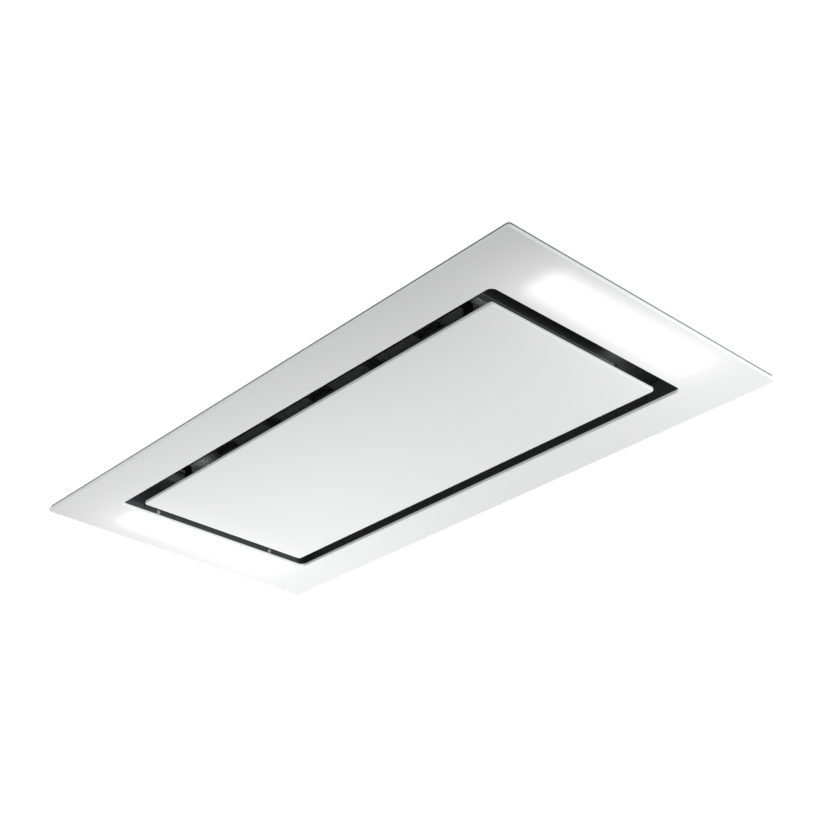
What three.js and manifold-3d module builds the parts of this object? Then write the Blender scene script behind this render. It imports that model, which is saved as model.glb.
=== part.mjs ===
// Ceiling range hood with a white glass face and perimeter suction, in millimetres.
// The underside of the glass is z = 0 and +Z points up into the ceiling; X runs along the length of the hood.
// The centre panel swings down on two hinges at its +Y side and is held at its -Y side by two magnets.
import * as THREE from "three";
import { mergeVertices } from "three/addons/utils/BufferGeometryUtils.js";
import Module from "manifold-3d";

const wasm = await Module();
wasm.setup();

// ---- driving dimensions ----
const SEAT = 0.3; // glue line or rest clearance between two pieces that touch
const PIN_PLAY = 0.3; // radial play of a pin, screw or shaft in its hole
const LARGE_ROUND_SIDES = 32; // sides of a large circle, such as the duct's
const PIN_ROUND_SIDES = 12; // sides of a pin and of its hole
const SCREW_ROUND_SIDES = 8; // sides of a screw and of its hole
const CUTTER = 10; // length of a cutter that passes through one wall

const GLASS_LENGTH = 1200;
const GLASS_WIDTH = 590;
const GLASS_THICKNESS = 6;
const GLASS_CORNER = 5;
const GLASS_ARRIS = 1; // ground edge of the glass
const BORDER_END = 118; // glass between the opening and the ends
const BORDER_SIDE = 84; // and the long sides
const OPENING_CORNER = 2; // kept tight, so that collision pieces end where the opening does
const SUCTION_GAP = 30;
const PANEL_CORNER = 6;

const SHEET = 1.2; // steel sheet of trays, deck, shell and cover
const TRAY_INSET = 2; // the steel edge stands back from the glass edge
const CEILING_HEIGHT = 10; // plane of the ceiling above the underside of the glass
const TRAY_SETBACK_LONG = 2; // tray edge behind the glass edge on the long sides of the opening
const TRAY_SETBACK_END = 4; // and at the short ends, where the tray turns up into a flange
const TRAY_FLANGE_TOP = 22;
const TRAY_FLANGE_LENGTH = 320;
const GASKET_WIDTH = 8;

const PANEL_TRAY_INSET = 16;
const PANEL_TRAY_TOP = 20;

const LINER_SHEET = 1;
const LINER_END_PLAY = 0.3; // tray flange to liner
const LINER_SETBACK = 31.5; // long walls of the recess behind the opening's edge
const LINER_PAD_LENGTH = 63; // pads pressed into the long walls behind the ceiling clamps
const LINER_PAD_SPACING = 710;
const LINER_PAD_HEIGHT = 13;
const LINER_PAD_BOTTOM = 33;
const LINER_PAD_RELIEF = 1.6;
const DECK_BOTTOM = 60; // underside of the filter deck
const BODY_TOP = 232;
const SHELL_FLANGE = 36; // lips along the long sides of the shell, under the ceiling
const BODY_CORNER = 5;
const COVER_RIM = 12;
const COVER_BEAD_END = 65; // end of a bead from the cover's edge
const COVER_BEAD_SPACING = 600;
const COVER_BEAD_WIDTH = 14;
const COVER_BEAD_DEPTH = 2;

const FILTER_COUNT = 3;
const FILTER_PITCH = 268;
const FILTER_LENGTH = 262; // along X
const FILTER_DEPTH = 312; // along Y
const FILTER_HEIGHT = 9;
const FILTER_RAIL = 12;
const FILTER_LIP = 1.5;
const FILTER_WALL = 2;
const FILTER_CORNER = 3;
const FILTER_PLAY = 1.5; // filter to the edge of the deck's opening
const FILTER_TAB_REACH = 6;
const FILTER_TAB_WIDTH = 20;
const FILTER_TAB_SPACING = 160;
const FILTER_TAB_THICKNESS = 2;
const SHEET_HOLES_X = 5;
const SHEET_HOLES_Y = 5;
const SHEET_HOLE_SHARE = 0.62; // open part of the pitch of the perforated sheet
const SHEET_MARGIN = 3; // bare sheet round the latch
const FILTER_SHEET_THICKNESS = 1.5;
const LATCH_SEAT_LENGTH = 52;
const LATCH_SEAT_DEPTH = 28;
const LATCH_LENGTH = 34;
const LATCH_DEPTH = 13;
const LATCH_HEIGHT = 5;
const LATCH_SETBACK = 1.5; // latch behind the outer face of the filter's rail
const LATCH_TRAVEL = 7.5;
const LATCH_GRIP_DROP = 6;
const LATCH_GRIP_THICKNESS = 3;
const LATCH_TONGUE_WIDTH = 24;

const HINGE_INSET = 84; // hinges and catches from the ends of the panel
const HINGE_BEHIND_FILTERS = 12.5; // hinge axis from the deck's opening
const HINGE_AXIS_Z = 34;
const HINGE_PIN_RADIUS = 3;
const HINGE_KNUCKLE_RADIUS = 6.5;
const HINGE_LEAF_WIDTH = 12;
const HINGE_EAR_THICKNESS = 3;
const HINGE_EAR_DEPTH = 14;
const HINGE_SIDE_PLAY = 0.5;
const HINGE_PLATE_THICKNESS = 2.5;
const HINGE_PLATE_LENGTH = 40;
const HINGE_PLATE_DEPTH = 36;
const HINGE_NECK = 10; // depth of the leaf where it rises from its foot
const HINGE_PIN_REACH = 1.5; // pin past the outer face of its ears

const CATCH_INSET = 18; // outer face of the bracket's riser from the edge of the panel's tray
const CATCH_SHEET = 2;
const CATCH_WIDTH = 20;
const CATCH_MARGIN = 3; // bracket past its magnet
const CATCH_CHAMFER = 5;
const CATCH_FOOT = 26;
const MAGNET_HEIGHT = 5;
const MAGNET_LENGTH = 22;
const MAGNET_DEPTH = 16;
const MAGNET_CORNER = 2;
const MAGNET_BEHIND_FILTERS = 10.5; // middle of a magnet from the deck's opening

const LED_WINDOW_WIDTH = 70;
const LED_WINDOW_LENGTH = 350;
const LED_DIFFUSER_PLAY = 0.5;
const LED_DIFFUSER_THICKNESS = 2;
const LED_CORNER = 4;
const LED_HOUSING_TOP = 32;
const LED_HOUSING_FLANGE = 6;
const LED_STRIP_WIDTH = 12;
const LED_STRIP_LENGTH = 330;
const LED_BOARD_THICKNESS = 1.6;
const LED_COUNT = 12;
const LED_SIZE = 5;
const LED_HEIGHT = 1.4;

const IMPELLER_RADIUS = 110;
const IMPELLER_EYE_RADIUS = 90;
const IMPELLER_BLADES = 32;
const IMPELLER_BLADE_THICKNESS = 1.1;
const IMPELLER_BLADE_SWEEP = 0.17; // radians that a blade leans forward from root to tip
const IMPELLER_BOTTOM = 98;
const IMPELLER_TOP = 196;
const IMPELLER_SHELL = 2.5;
const IMPELLER_WELL_TOP_RADIUS = 60;
const IMPELLER_WELL_FLOOR_RADIUS = 55;
const IMPELLER_WELL_FLOOR = 146;
const HUB_RADIUS = 12;
const HUB_LENGTH = 10;
const SHAFT_RADIUS = 4;
const SHAFT_END = 132;
const MOTOR_RADIUS = 44;
const MOTOR_BOTTOM = 152;
const MOTOR_FLANGE_RADIUS = 54;
const MOTOR_FLANGE_THICKNESS = 3;
const MOTOR_BOSS_RADIUS = 14;
const MOTOR_BOSS_HEIGHT = 2;
const MOTOR_CHAMFER = 4;
const MOTOR_RIBS = 8;
const MOTOR_RIB_REACH = 2.5;
const MOTOR_RIB_WIDTH = 2;
const MOTOR_RIB_START = 6; // ribs begin above the can's lower edge
const MOTOR_VENTS = 6;
const MOTOR_VENT_RADIUS = 5;
const MOTOR_VENT_CIRCLE = 28;

const BLOWER_X = -90;
const BLOWER_Y = -40;
const SCROLL_WALL = 2;
const SCROLL_FLOOR = 90;
const SCROLL_ROOF = 207;
const SCROLL_START_RADIUS = 121;
const SCROLL_END_RADIUS = 165;
const SCROLL_TONGUE_ANGLE = Math.PI / 3;
const SCROLL_STEPS = 28;
const SCROLL_OUTLET_WIDTH = 150;
const SCROLL_TONGUE_SHIFT = [50, 122]; // where the outlet's inner wall meets the tongue, from the axis
const SCROLL_INLET_RADIUS = 86;
const SCROLL_INLET_LIP = 5;
const SCROLL_LUG = 12;
const SCROLL_LUG_HEIGHT = 5;
const SCROLL_LUG_ANGLES = [100, 160, 220, 280, 340];
const BUFFER_RADIUS = 9;
const BUFFER_ANGLES = [70, 150, 230, 310];
const BUFFER_CIRCLE = 95;
const CAPACITOR_RADIUS = 20;
const CAPACITOR_LENGTH = 72;
const CAPACITOR_STUD_RADIUS = 5;
const CAPACITOR_STUD_LENGTH = 8;
const CAPACITOR_CHAMFER = 2;
const CAPACITOR_PLACE = [150, -150];

const DUCT_RADIUS = 75;
const DUCT_WALL = 2.5;
const DUCT_LENGTH = 48.7; // from the shell to the collar's mouth
const DUCT_FLANGE_THICKNESS = 3;
const DUCT_FLANGE_LENGTH = 176;
const DUCT_FLANGE_HEIGHT = 162;
const DUCT_FLANGE_CORNER = 12;
const DUCT_BEAD = 1.5; // ring pressed outwards that grips the duct
const DUCT_BEAD_PLACE = 12; // behind the mouth of the collar
const DUCT_CHAMFER = 1;
const FLAP_AXIS_INSET = 28; // flap axis behind the mouth of the collar
const FLAP_PIN_RADIUS = 2;
const FLAP_PIN_INSET = 0.5; // pin's ends inside the face of the collar
const FLAP_KNUCKLE_RADIUS = 4;
const FLAP_THICKNESS = 1.6;
const FLAP_RIM_PLAY = 2;
const FLAP_NECK = 6.5; // distance from the axis at which the flap's leaf begins
const FLAP_KNUCKLE_LENGTH = 26;
const FLAP_KNUCKLE_GAP = 1;

const CONTROL_LENGTH = 150; // along Y
const CONTROL_DEPTH = 58; // along X
const CONTROL_HEIGHT = 90;
const CONTROL_WALL = 1.6;
const CONTROL_BOTTOM = 96;
const CONTROL_Y = -115;
const TERMINAL_SIZE = [20, 62, 18];
const TERMINAL_WAYS = 5;
const TERMINAL_WELL_RADIUS = 3.4;
const TERMINAL_WELL_DEPTH = 7;
const LID_BEAD_INSET = 12;
const LID_BEAD = 1.5;
const GLAND_BORE = 4;
const GLAND_RADIUS = 8;
const GLAND_HEX_RADIUS = 12;
const GLAND_REACH = 10;
const GLAND_HEIGHT = 150;

const CLAMP_SPACING = 660;
const CLAMP_OFFSET = 11; // screw axis from the shell's wall
const CLAMP_SCREW_RADIUS = 2.5;
const CLAMP_SCREW_END = 3; // screw past its upper ear
const CLAMP_HEAD_RADIUS = 5;
const CLAMP_HEAD_HEIGHT = 3;
const CLAMP_EAR_THICKNESS = 2;
const CLAMP_EAR_WIDTH = 18;
const CLAMP_LOWER_EAR = 14;
const CLAMP_UPPER_EAR = 58;
const CLAMP_BOARD = 12.5; // ceiling board that the clamps close on
const CLAMP_DOG_HEIGHT = 9;
const CLAMP_DOG_RADIUS = 7;
const CLAMP_DOG_REACH = 34;
const CLAMP_DOG_THICKNESS = 3;
const CLAMP_DOG_HUB_LIFT = 2; // hub above the tip that presses on the board

const HANGER_LENGTH = 400;
const HANGER_BOTTOM = 156;
const HANGER_THICKNESS = 2.5;
const HANGER_REACH = 38;
const HANGER_SLOT_LENGTH = 24;
const HANGER_SLOT_RADIUS = 4.5;
const HANGER_SLOT_SPACING = 300;

const FRAME_SCREW_SPACING = 260;
const FRAME_SCREW_HEIGHT = 12;
const FRAME_SCREW_RADIUS = 2;
const FRAME_SCREW_HEAD_RADIUS = 4;
const FRAME_SCREW_HEAD = 2.6;
const FRAME_SCREW_LENGTH = 10;

// ---- places worked out from the driving dimensions ----
const openingHalf = [GLASS_LENGTH / 2 - BORDER_END, GLASS_WIDTH / 2 - BORDER_SIDE];
const panelHalf = openingHalf.map((half) => half - SUCTION_GAP);
const trayFloor = GLASS_THICKNESS + SEAT;
const trayTop = trayFloor + SHEET;
const trayFlangeX = openingHalf[0] + TRAY_SETBACK_END;
const linerInnerX = trayFlangeX + SHEET + LINER_END_PLAY;
const linerInnerY = openingHalf[1] + LINER_SETBACK;
const linerOuter = [linerInnerX + LINER_SHEET, linerInnerY + LINER_SHEET];
const shellInner = linerOuter.map((half) => half + SEAT);
const shellOuter = shellInner.map((half) => half + SHEET);
const shellBottom = trayTop + SEAT;
const deckTop = DECK_BOTTOM + SHEET;
const deckOpeningHalf = [
  ((FILTER_COUNT - 1) * FILTER_PITCH + FILTER_LENGTH) / 2 + FILTER_PLAY,
  FILTER_DEPTH / 2 + FILTER_PLAY,
];
const filterPlaces = [...Array(FILTER_COUNT).keys()].map(
  (i) => (i - (FILTER_COUNT - 1) / 2) * FILTER_PITCH,
);
const ledCentre = (openingHalf[0] + GLASS_LENGTH / 2) / 2;
const hingeX = panelHalf[0] - HINGE_INSET;
const hingeAxisY = deckOpeningHalf[1] + HINGE_BEHIND_FILTERS;
const magnetY = -deckOpeningHalf[1] - MAGNET_BEHIND_FILTERS;
const catchTip = magnetY - MAGNET_DEPTH / 2 - CATCH_MARGIN;
const catchRiser = Math.max(
  PANEL_TRAY_INSET + CATCH_INSET - panelHalf[1],
  magnetY + MAGNET_DEPTH / 2 + CATCH_CHAMFER,
);
const outletX = BLOWER_X + SCROLL_END_RADIUS - SCROLL_OUTLET_WIDTH / 2;
const ductHeight = (SCROLL_FLOOR + SCROLL_ROOF) / 2;
const scrollSplit = ductHeight;
const ductStart = shellOuter[1] + SEAT;
const flapAxisY = ductStart + DUCT_LENGTH - FLAP_AXIS_INSET;
const coverBottom = BODY_TOP - SHEET;
const clampY = shellOuter[1] + CLAMP_OFFSET;
const clampDogBottom = CEILING_HEIGHT + CLAMP_BOARD + SEAT;
const panelPlate = trayTop + SEAT; // upper face of the panel tray's floor, with its seat

// ---- materials ----
const finish = (color, roughness, metalness) => ({ color, roughness, metalness });
const FINISHES = {
  whiteGlass: finish(0xf2f3f3, 0.12, 0),
  darkSteel: finish(0x2a2b2d, 0.45, 0.6),
  blackPaint: finish(0x111214, 0.55, 0.1),
  foam: finish(0x1b1b1c, 0.9, 0),
  galvanised: finish(0xa9adb1, 0.45, 0.85),
  aluminium: finish(0xb9bcc0, 0.35, 0.9),
  steel: finish(0xc9ccd0, 0.25, 0.95),
  blackPlastic: finish(0x1a1b1d, 0.5, 0),
  greyPlastic: finish(0x4a4d51, 0.55, 0),
  whitePlastic: finish(0xe9eaea, 0.4, 0),
  opal: finish(0xfdfdf8, 0.3, 0),
};

// ---- solids ----
function solid(geometry) {
  const bare = geometry.clone();
  bare.deleteAttribute("normal");
  bare.deleteAttribute("uv");
  const merged = mergeVertices(bare, 1e-4);
  return new wasm.Manifold(
    new wasm.Mesh({
      numProp: 3,
      vertProperties: new Float32Array(merged.attributes.position.array),
      triVerts: new Uint32Array(merged.index.array),
    }),
  );
}

const join = (first, ...others) => others.reduce((sum, piece) => sum.add(piece), first);
const cut = (first, ...others) => others.reduce((rest, piece) => rest.subtract(piece), first);

// A block between two opposite corners.
function block([x0, x1], [y0, y1], [z0, z1]) {
  const geometry = new THREE.BoxGeometry(x1 - x0, y1 - y0, z1 - z0);
  return solid(geometry.translate((x0 + x1) / 2, (y0 + y1) / 2, (z0 + z1) / 2));
}

// Points of a rectangle with round corners, counter-clockwise.
function roundedRectangle([halfX, halfY], radius, steps = 5) {
  const points = [];
  [[1, 1], [-1, 1], [-1, -1], [1, -1]].forEach(([sx, sy], quarter) => {
    for (let i = 0; i <= steps; i++) {
      const angle = ((quarter + i / steps) * Math.PI) / 2;
      const x = sx * (halfX - radius) + radius * Math.cos(angle);
      const y = sy * (halfY - radius) + radius * Math.sin(angle);
      points.push(new THREE.Vector2(x, y));
    }
  });
  return points;
}

function circle(radius, sides = 32, [x, y] = [0, 0]) {
  return [...Array(sides).keys()].map((i) => {
    const angle = (i * 2 * Math.PI) / sides;
    return new THREE.Vector2(x + radius * Math.cos(angle), y + radius * Math.sin(angle));
  });
}

const moved = (points, x, y) => points.map((p) => new THREE.Vector2(p.x + x, p.y + y));

// A flat outline with holes, raised from z0 to z1; an arris takes the edges off both faces.
function prism(outline, holes, z0, z1, arris = 0) {
  const shape = new THREE.Shape(outline);
  shape.holes = holes.map((points) => new THREE.Path(points));
  const geometry = new THREE.ExtrudeGeometry(shape, {
    depth: z1 - z0 - 2 * arris,
    bevelEnabled: arris > 0,
    bevelThickness: arris,
    bevelSize: arris,
    bevelOffset: -arris,
    bevelSegments: 1,
  });
  return solid(geometry.translate(0, 0, z0 + arris));
}

// A solid of revolution about +Z through [x, y].
// Its [radius, height] pairs start and end on the axis, or close on themselves.
function turned(profile, sides, [x, y] = [0, 0]) {
  const points = profile.map(([radius, height]) => new THREE.Vector2(radius, height));
  const geometry = new THREE.LatheGeometry(points, sides);
  return solid(geometry.rotateX(Math.PI / 2).translate(x, y, 0));
}

const rod = (radius, z0, z1, sides = 24, place = [0, 0]) =>
  prism(circle(radius, sides, place), [], z0, z1);

// Lays a solid made along +Z over, so that its +Z becomes +X or +Y, then sets its origin down at a place.
const alongX = (piece, [x, y, z]) => piece.rotate([0, 90, 0]).translate([x, y, z]);
const alongY = (piece, [x, y, z]) => piece.rotate([-90, 0, 0]).translate([x, y, z]);

const hood = new THREE.Group();

function place(name, piece, finishName, group = hood) {
  const made = piece.getMesh();
  const geometry = new THREE.BufferGeometry();
  geometry.setAttribute("position", new THREE.BufferAttribute(made.vertProperties, 3));
  geometry.setIndex(new THREE.BufferAttribute(made.triVerts, 1));
  geometry.computeVertexNormals();
  const mesh = new THREE.Mesh(geometry, new THREE.MeshStandardMaterial(FINISHES[finishName]));
  mesh.name = name;
  group.add(mesh);
  return mesh;
}

const sides = [["left", -1], ["right", 1]];

// ---- glass frame, its steel tray and the gasket against the ceiling ----
function ledWindows(play = 0) {
  const half = [LED_WINDOW_WIDTH / 2 - play, LED_WINDOW_LENGTH / 2 - play];
  return sides.map(([, side]) => moved(roundedRectangle(half, LED_CORNER, 3), side * ledCentre, 0));
}

function glassFrame() {
  const outer = roundedRectangle([GLASS_LENGTH / 2, GLASS_WIDTH / 2], GLASS_CORNER, 4);
  const opening = roundedRectangle(openingHalf, OPENING_CORNER, 8);
  return prism(outer, [opening], 0, GLASS_THICKNESS, GLASS_ARRIS);
}

function frameScrewPlaces() {
  return sides.flatMap(([, sx]) =>
    sides.map(([, sy]) => [sx, (sy * FRAME_SCREW_SPACING) / 2]),
  );
}

// Clearance holes for the frame screws through any end wall between two distances from the middle.
function frameScrewHoles(x0, x1) {
  return frameScrewPlaces().map(([side, y]) =>
    alongX(rod(FRAME_SCREW_RADIUS + PIN_PLAY, 0, x1 - x0, SCREW_ROUND_SIDES), [
      side > 0 ? x0 : -x1,
      y,
      FRAME_SCREW_HEIGHT,
    ]),
  );
}

function frameTray() {
  const half = [GLASS_LENGTH / 2 - TRAY_INSET, GLASS_WIDTH / 2 - TRAY_INSET];
  const inner = half.map((value) => value - SHEET);
  const opening = [trayFlangeX, openingHalf[1] + TRAY_SETBACK_LONG];
  const outline = roundedRectangle(half, GLASS_CORNER, 4);
  const hole = roundedRectangle(opening, OPENING_CORNER + TRAY_SETBACK_LONG, 6);
  const floor = prism(outline, [hole, ...ledWindows()], trayFloor, trayTop);
  const rimHole = roundedRectangle(inner, GLASS_CORNER - SHEET, 4);
  const rim = prism(outline, [rimHole], trayFloor, CEILING_HEIGHT);
  const flanges = sides.map(([, side]) =>
    block(
      side > 0 ? [trayFlangeX, trayFlangeX + SHEET] : [-trayFlangeX - SHEET, -trayFlangeX],
      [-TRAY_FLANGE_LENGTH / 2, TRAY_FLANGE_LENGTH / 2],
      [trayFloor, TRAY_FLANGE_TOP],
    ),
  );
  const holes = frameScrewHoles(trayFlangeX - 1, trayFlangeX + SHEET + 1);
  return cut(join(floor, rim, ...flanges), ...holes);
}

function ceilingGasket() {
  const half = [GLASS_LENGTH / 2, GLASS_WIDTH / 2].map(
    (value) => value - TRAY_INSET - SHEET - SEAT,
  );
  const inner = half.map((value) => value - GASKET_WIDTH);
  const hole = roundedRectangle(inner, GLASS_CORNER, 3);
  return prism(roundedRectangle(half, GLASS_CORNER, 3), [hole], trayTop + SEAT, CEILING_HEIGHT);
}

function frameScrew(side, y) {
  const head = turned(
    [
      [0, 0],
      [FRAME_SCREW_HEAD_RADIUS * 0.6, 0],
      [FRAME_SCREW_HEAD_RADIUS, FRAME_SCREW_HEAD * 0.5],
      [FRAME_SCREW_HEAD_RADIUS, FRAME_SCREW_HEAD],
      [FRAME_SCREW_RADIUS, FRAME_SCREW_HEAD],
      [FRAME_SCREW_RADIUS, FRAME_SCREW_HEAD + FRAME_SCREW_LENGTH],
      [0, FRAME_SCREW_HEAD + FRAME_SCREW_LENGTH],
    ],
    12,
  );
  const start = trayFlangeX - SEAT - FRAME_SCREW_HEAD;
  const screw = alongX(head, [start, 0, 0]);
  const turnedRound = side > 0 ? screw : screw.rotate([0, 0, 180]);
  return turnedRound.translate([0, y, FRAME_SCREW_HEIGHT]);
}

// ---- centre panel with its tray, hinge leaves and catch brackets ----
function panelGlass() {
  return prism(
    roundedRectangle(panelHalf, PANEL_CORNER, 4),
    [],
    0,
    GLASS_THICKNESS,
    GLASS_ARRIS,
  );
}

function panelTray() {
  const half = panelHalf.map((value) => value - PANEL_TRAY_INSET);
  const outline = roundedRectangle(half, PANEL_CORNER, 3);
  const hollow = roundedRectangle(half.map((value) => value - SHEET), PANEL_CORNER - SHEET, 3);
  const body = prism(outline, [], trayFloor, PANEL_TRAY_TOP);
  return cut(body, prism(hollow, [], trayTop, PANEL_TRAY_TOP + 1));
}

function catchBracket(x) {
  const top = DECK_BOTTOM - SEAT - MAGNET_HEIGHT - SEAT;
  const half = CATCH_WIDTH / 2;
  const reach = catchRiser - catchTip;
  const profile = [
    [0, 0], [CATCH_FOOT, 0], [CATCH_FOOT, CATCH_SHEET], [CATCH_SHEET, CATCH_SHEET],
    [CATCH_SHEET, top - panelPlate], [-reach, top - panelPlate],
    [-reach, top - panelPlate - CATCH_SHEET], [0, top - panelPlate - CATCH_SHEET],
  ].map(([y, z]) => new THREE.Vector2(y, z));
  const strip = prism(profile, [], 0, CATCH_WIDTH)
    .rotate([90, 0, 90])
    .translate([x - half, catchRiser, panelPlate]);
  const corners = sides.map(([, side]) => {
    const edge = [
      new THREE.Vector2(side * (half - CATCH_CHAMFER), catchTip - 1),
      new THREE.Vector2(side * (half + 1), catchTip - 1),
      new THREE.Vector2(side * (half + 1), catchTip + CATCH_CHAMFER),
    ];
    const wedge = prism(side > 0 ? edge : edge.reverse(), [], panelPlate, top + 1);
    return wedge.translate([x, 0, 0]);
  });
  return cut(strip, ...corners);
}

function catchMagnet(x) {
  return prism(
    moved(roundedRectangle([MAGNET_LENGTH / 2, MAGNET_DEPTH / 2], MAGNET_CORNER, 2), x, magnetY),
    [],
    DECK_BOTTOM - SEAT - MAGNET_HEIGHT,
    DECK_BOTTOM - SEAT,
  );
}

function hingeLeaf(x) {
  const half = HINGE_LEAF_WIDTH / 2;
  const knuckle = alongX(rod(HINGE_KNUCKLE_RADIUS, 0, HINGE_LEAF_WIDTH, PIN_ROUND_SIDES), [
    x - half,
    hingeAxisY,
    HINGE_AXIS_Z,
  ]);
  const footTop = panelPlate + HINGE_PLATE_THICKNESS;
  const inner = panelHalf[1] - PANEL_TRAY_INSET - SHEET - SEAT;
  const arm = block(
    [x - half, x + half],
    [hingeAxisY - HINGE_KNUCKLE_RADIUS, hingeAxisY + HINGE_KNUCKLE_RADIUS - 1],
    [PANEL_TRAY_TOP + 1, HINGE_AXIS_Z],
  );
  const neck = block(
    [x - half, x + half],
    [inner - HINGE_NECK, inner],
    [panelPlate, HINGE_AXIS_Z - HINGE_KNUCKLE_RADIUS + 2],
  );
  const bridge = block(
    [x - half, x + half],
    [
      Math.min(inner, hingeAxisY) - HINGE_NECK,
      Math.max(inner, hingeAxisY + HINGE_KNUCKLE_RADIUS - 1),
    ],
    [PANEL_TRAY_TOP + 1, HINGE_AXIS_Z - HINGE_KNUCKLE_RADIUS + 2],
  );
  const foot = block(
    [x - HINGE_PLATE_LENGTH / 2, x + HINGE_PLATE_LENGTH / 2],
    [inner - HINGE_PLATE_DEPTH, inner],
    [panelPlate, footTop],
  );
  const bore = alongX(rod(HINGE_PIN_RADIUS + PIN_PLAY, 0, HINGE_LEAF_WIDTH + 2, PIN_ROUND_SIDES), [
    x - half - 1,
    hingeAxisY,
    HINGE_AXIS_Z,
  ]);
  return cut(join(knuckle, arm, bridge, neck, foot), bore);
}

function hingeBracket(x) {
  const plateTop = DECK_BOTTOM - SEAT;
  const earInner = HINGE_LEAF_WIDTH / 2 + HINGE_SIDE_PLAY;
  const earOuter = earInner + HINGE_EAR_THICKNESS;
  const plateStart = deckOpeningHalf[1] + FILTER_PLAY;
  const plate = block(
    [x - HINGE_PLATE_LENGTH / 2, x + HINGE_PLATE_LENGTH / 2],
    [plateStart, plateStart + HINGE_PLATE_DEPTH],
    [plateTop - HINGE_PLATE_THICKNESS, plateTop],
  );
  const ears = sides.flatMap(([, side]) => {
    const span = [x + side * earInner, x + side * earOuter].sort((a, b) => a - b);
    const half = HINGE_EAR_DEPTH / 2;
    return [
      block(span, [hingeAxisY - half, hingeAxisY + half], [HINGE_AXIS_Z, plateTop - 1]),
      alongX(rod(half, 0, HINGE_EAR_THICKNESS, PIN_ROUND_SIDES), [span[0], hingeAxisY, HINGE_AXIS_Z]),
    ];
  });
  const pinHalf = earOuter + HINGE_PIN_REACH;
  const pin = rod(HINGE_PIN_RADIUS, -pinHalf, pinHalf, PIN_ROUND_SIDES);
  return join(plate, ...ears, alongX(pin, [x, hingeAxisY, HINGE_AXIS_Z]));
}

// ---- recess liner, filter deck, body shell and top cover ----
function walls(half, thickness, corner, z0, z1) {
  const inner = half.map((value) => value - thickness);
  return prism(
    roundedRectangle(half, corner, 3),
    [roundedRectangle(inner, corner - thickness, 3)],
    z0,
    z1,
  );
}

function recessLiner() {
  const corner = BODY_CORNER - SHEET;
  const ring = walls(linerOuter, LINER_SHEET, corner, trayTop + SEAT, DECK_BOTTOM - SEAT);
  const pads = sides.flatMap(([, sx]) =>
    sides.map(([, sy]) => {
      const x = (sx * LINER_PAD_SPACING) / 2;
      const face = linerInnerY - LINER_PAD_RELIEF;
      return block(
        [x - LINER_PAD_LENGTH / 2, x + LINER_PAD_LENGTH / 2],
        sy > 0 ? [face, linerInnerY + 0.5] : [-linerInnerY - 0.5, -face],
        [LINER_PAD_BOTTOM, LINER_PAD_BOTTOM + LINER_PAD_HEIGHT],
      );
    }),
  );
  return cut(join(ring, ...pads), ...frameScrewHoles(linerInnerX - 1, linerOuter[0] + 1));
}

function filterDeck() {
  const outline = roundedRectangle(linerOuter, BODY_CORNER - SHEET, 3);
  const hole = roundedRectangle(deckOpeningHalf, FILTER_CORNER, 1);
  return prism(outline, [hole], DECK_BOTTOM, deckTop);
}

function clampPlaces() {
  return sides.flatMap(([, sx]) => sides.map(([, sy]) => [(sx * CLAMP_SPACING) / 2, sy]));
}

function clampEars() {
  return clampPlaces().flatMap(([x, side]) =>
    [CLAMP_LOWER_EAR, CLAMP_UPPER_EAR].map((z) => {
      const reach = clampY + CLAMP_HEAD_RADIUS + 1;
      const wall = shellOuter[1] - SHEET / 2;
      const ear = block(
        [x - CLAMP_EAR_WIDTH / 2, x + CLAMP_EAR_WIDTH / 2],
        side > 0 ? [wall, reach] : [-reach, -wall],
        [z, z + CLAMP_EAR_THICKNESS],
      );
      const hole = rod(CLAMP_SCREW_RADIUS + PIN_PLAY, z - 1, z + CLAMP_EAR_THICKNESS + 1, PIN_ROUND_SIDES, [
        x,
        side * clampY,
      ]);
      return cut(ear, hole);
    }),
  );
}

function bodyShell() {
  const ring = walls(shellOuter, SHEET, BODY_CORNER, shellBottom, coverBottom - SEAT);
  const lips = sides.map(([, side]) => {
    const inner = shellOuter[1] - SHEET / 2;
    const outer = shellOuter[1] + SHELL_FLANGE;
    return block(
      [BODY_CORNER - shellOuter[0], shellOuter[0] - BODY_CORNER],
      side > 0 ? [inner, outer] : [-outer, -inner],
      [shellBottom, shellBottom + SHEET],
    );
  });
  const ductHole = alongY(rod(DUCT_RADIUS - DUCT_WALL, 0, CUTTER, LARGE_ROUND_SIDES), [
    outletX,
    shellOuter[1] - CUTTER / 2,
    ductHeight,
  ]);
  const glandHole = alongX(rod(GLAND_RADIUS + PIN_PLAY, 0, CUTTER, PIN_ROUND_SIDES), [
    shellOuter[0] - CUTTER / 2,
    CONTROL_Y,
    GLAND_HEIGHT,
  ]);
  const screwAccess = clampPlaces().map(([x, side]) =>
    rod(CLAMP_HEAD_RADIUS + PIN_PLAY, shellBottom - 1, shellBottom + SHEET + 1, SCREW_ROUND_SIDES, [
      x,
      side * clampY,
    ]),
  );
  const screwHoles = frameScrewHoles(shellInner[0] - 1, shellOuter[0] + 1);
  return cut(
    join(ring, ...lips, ...clampEars()),
    ductHole,
    glandHole,
    ...screwAccess,
    ...screwHoles,
  );
}

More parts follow.
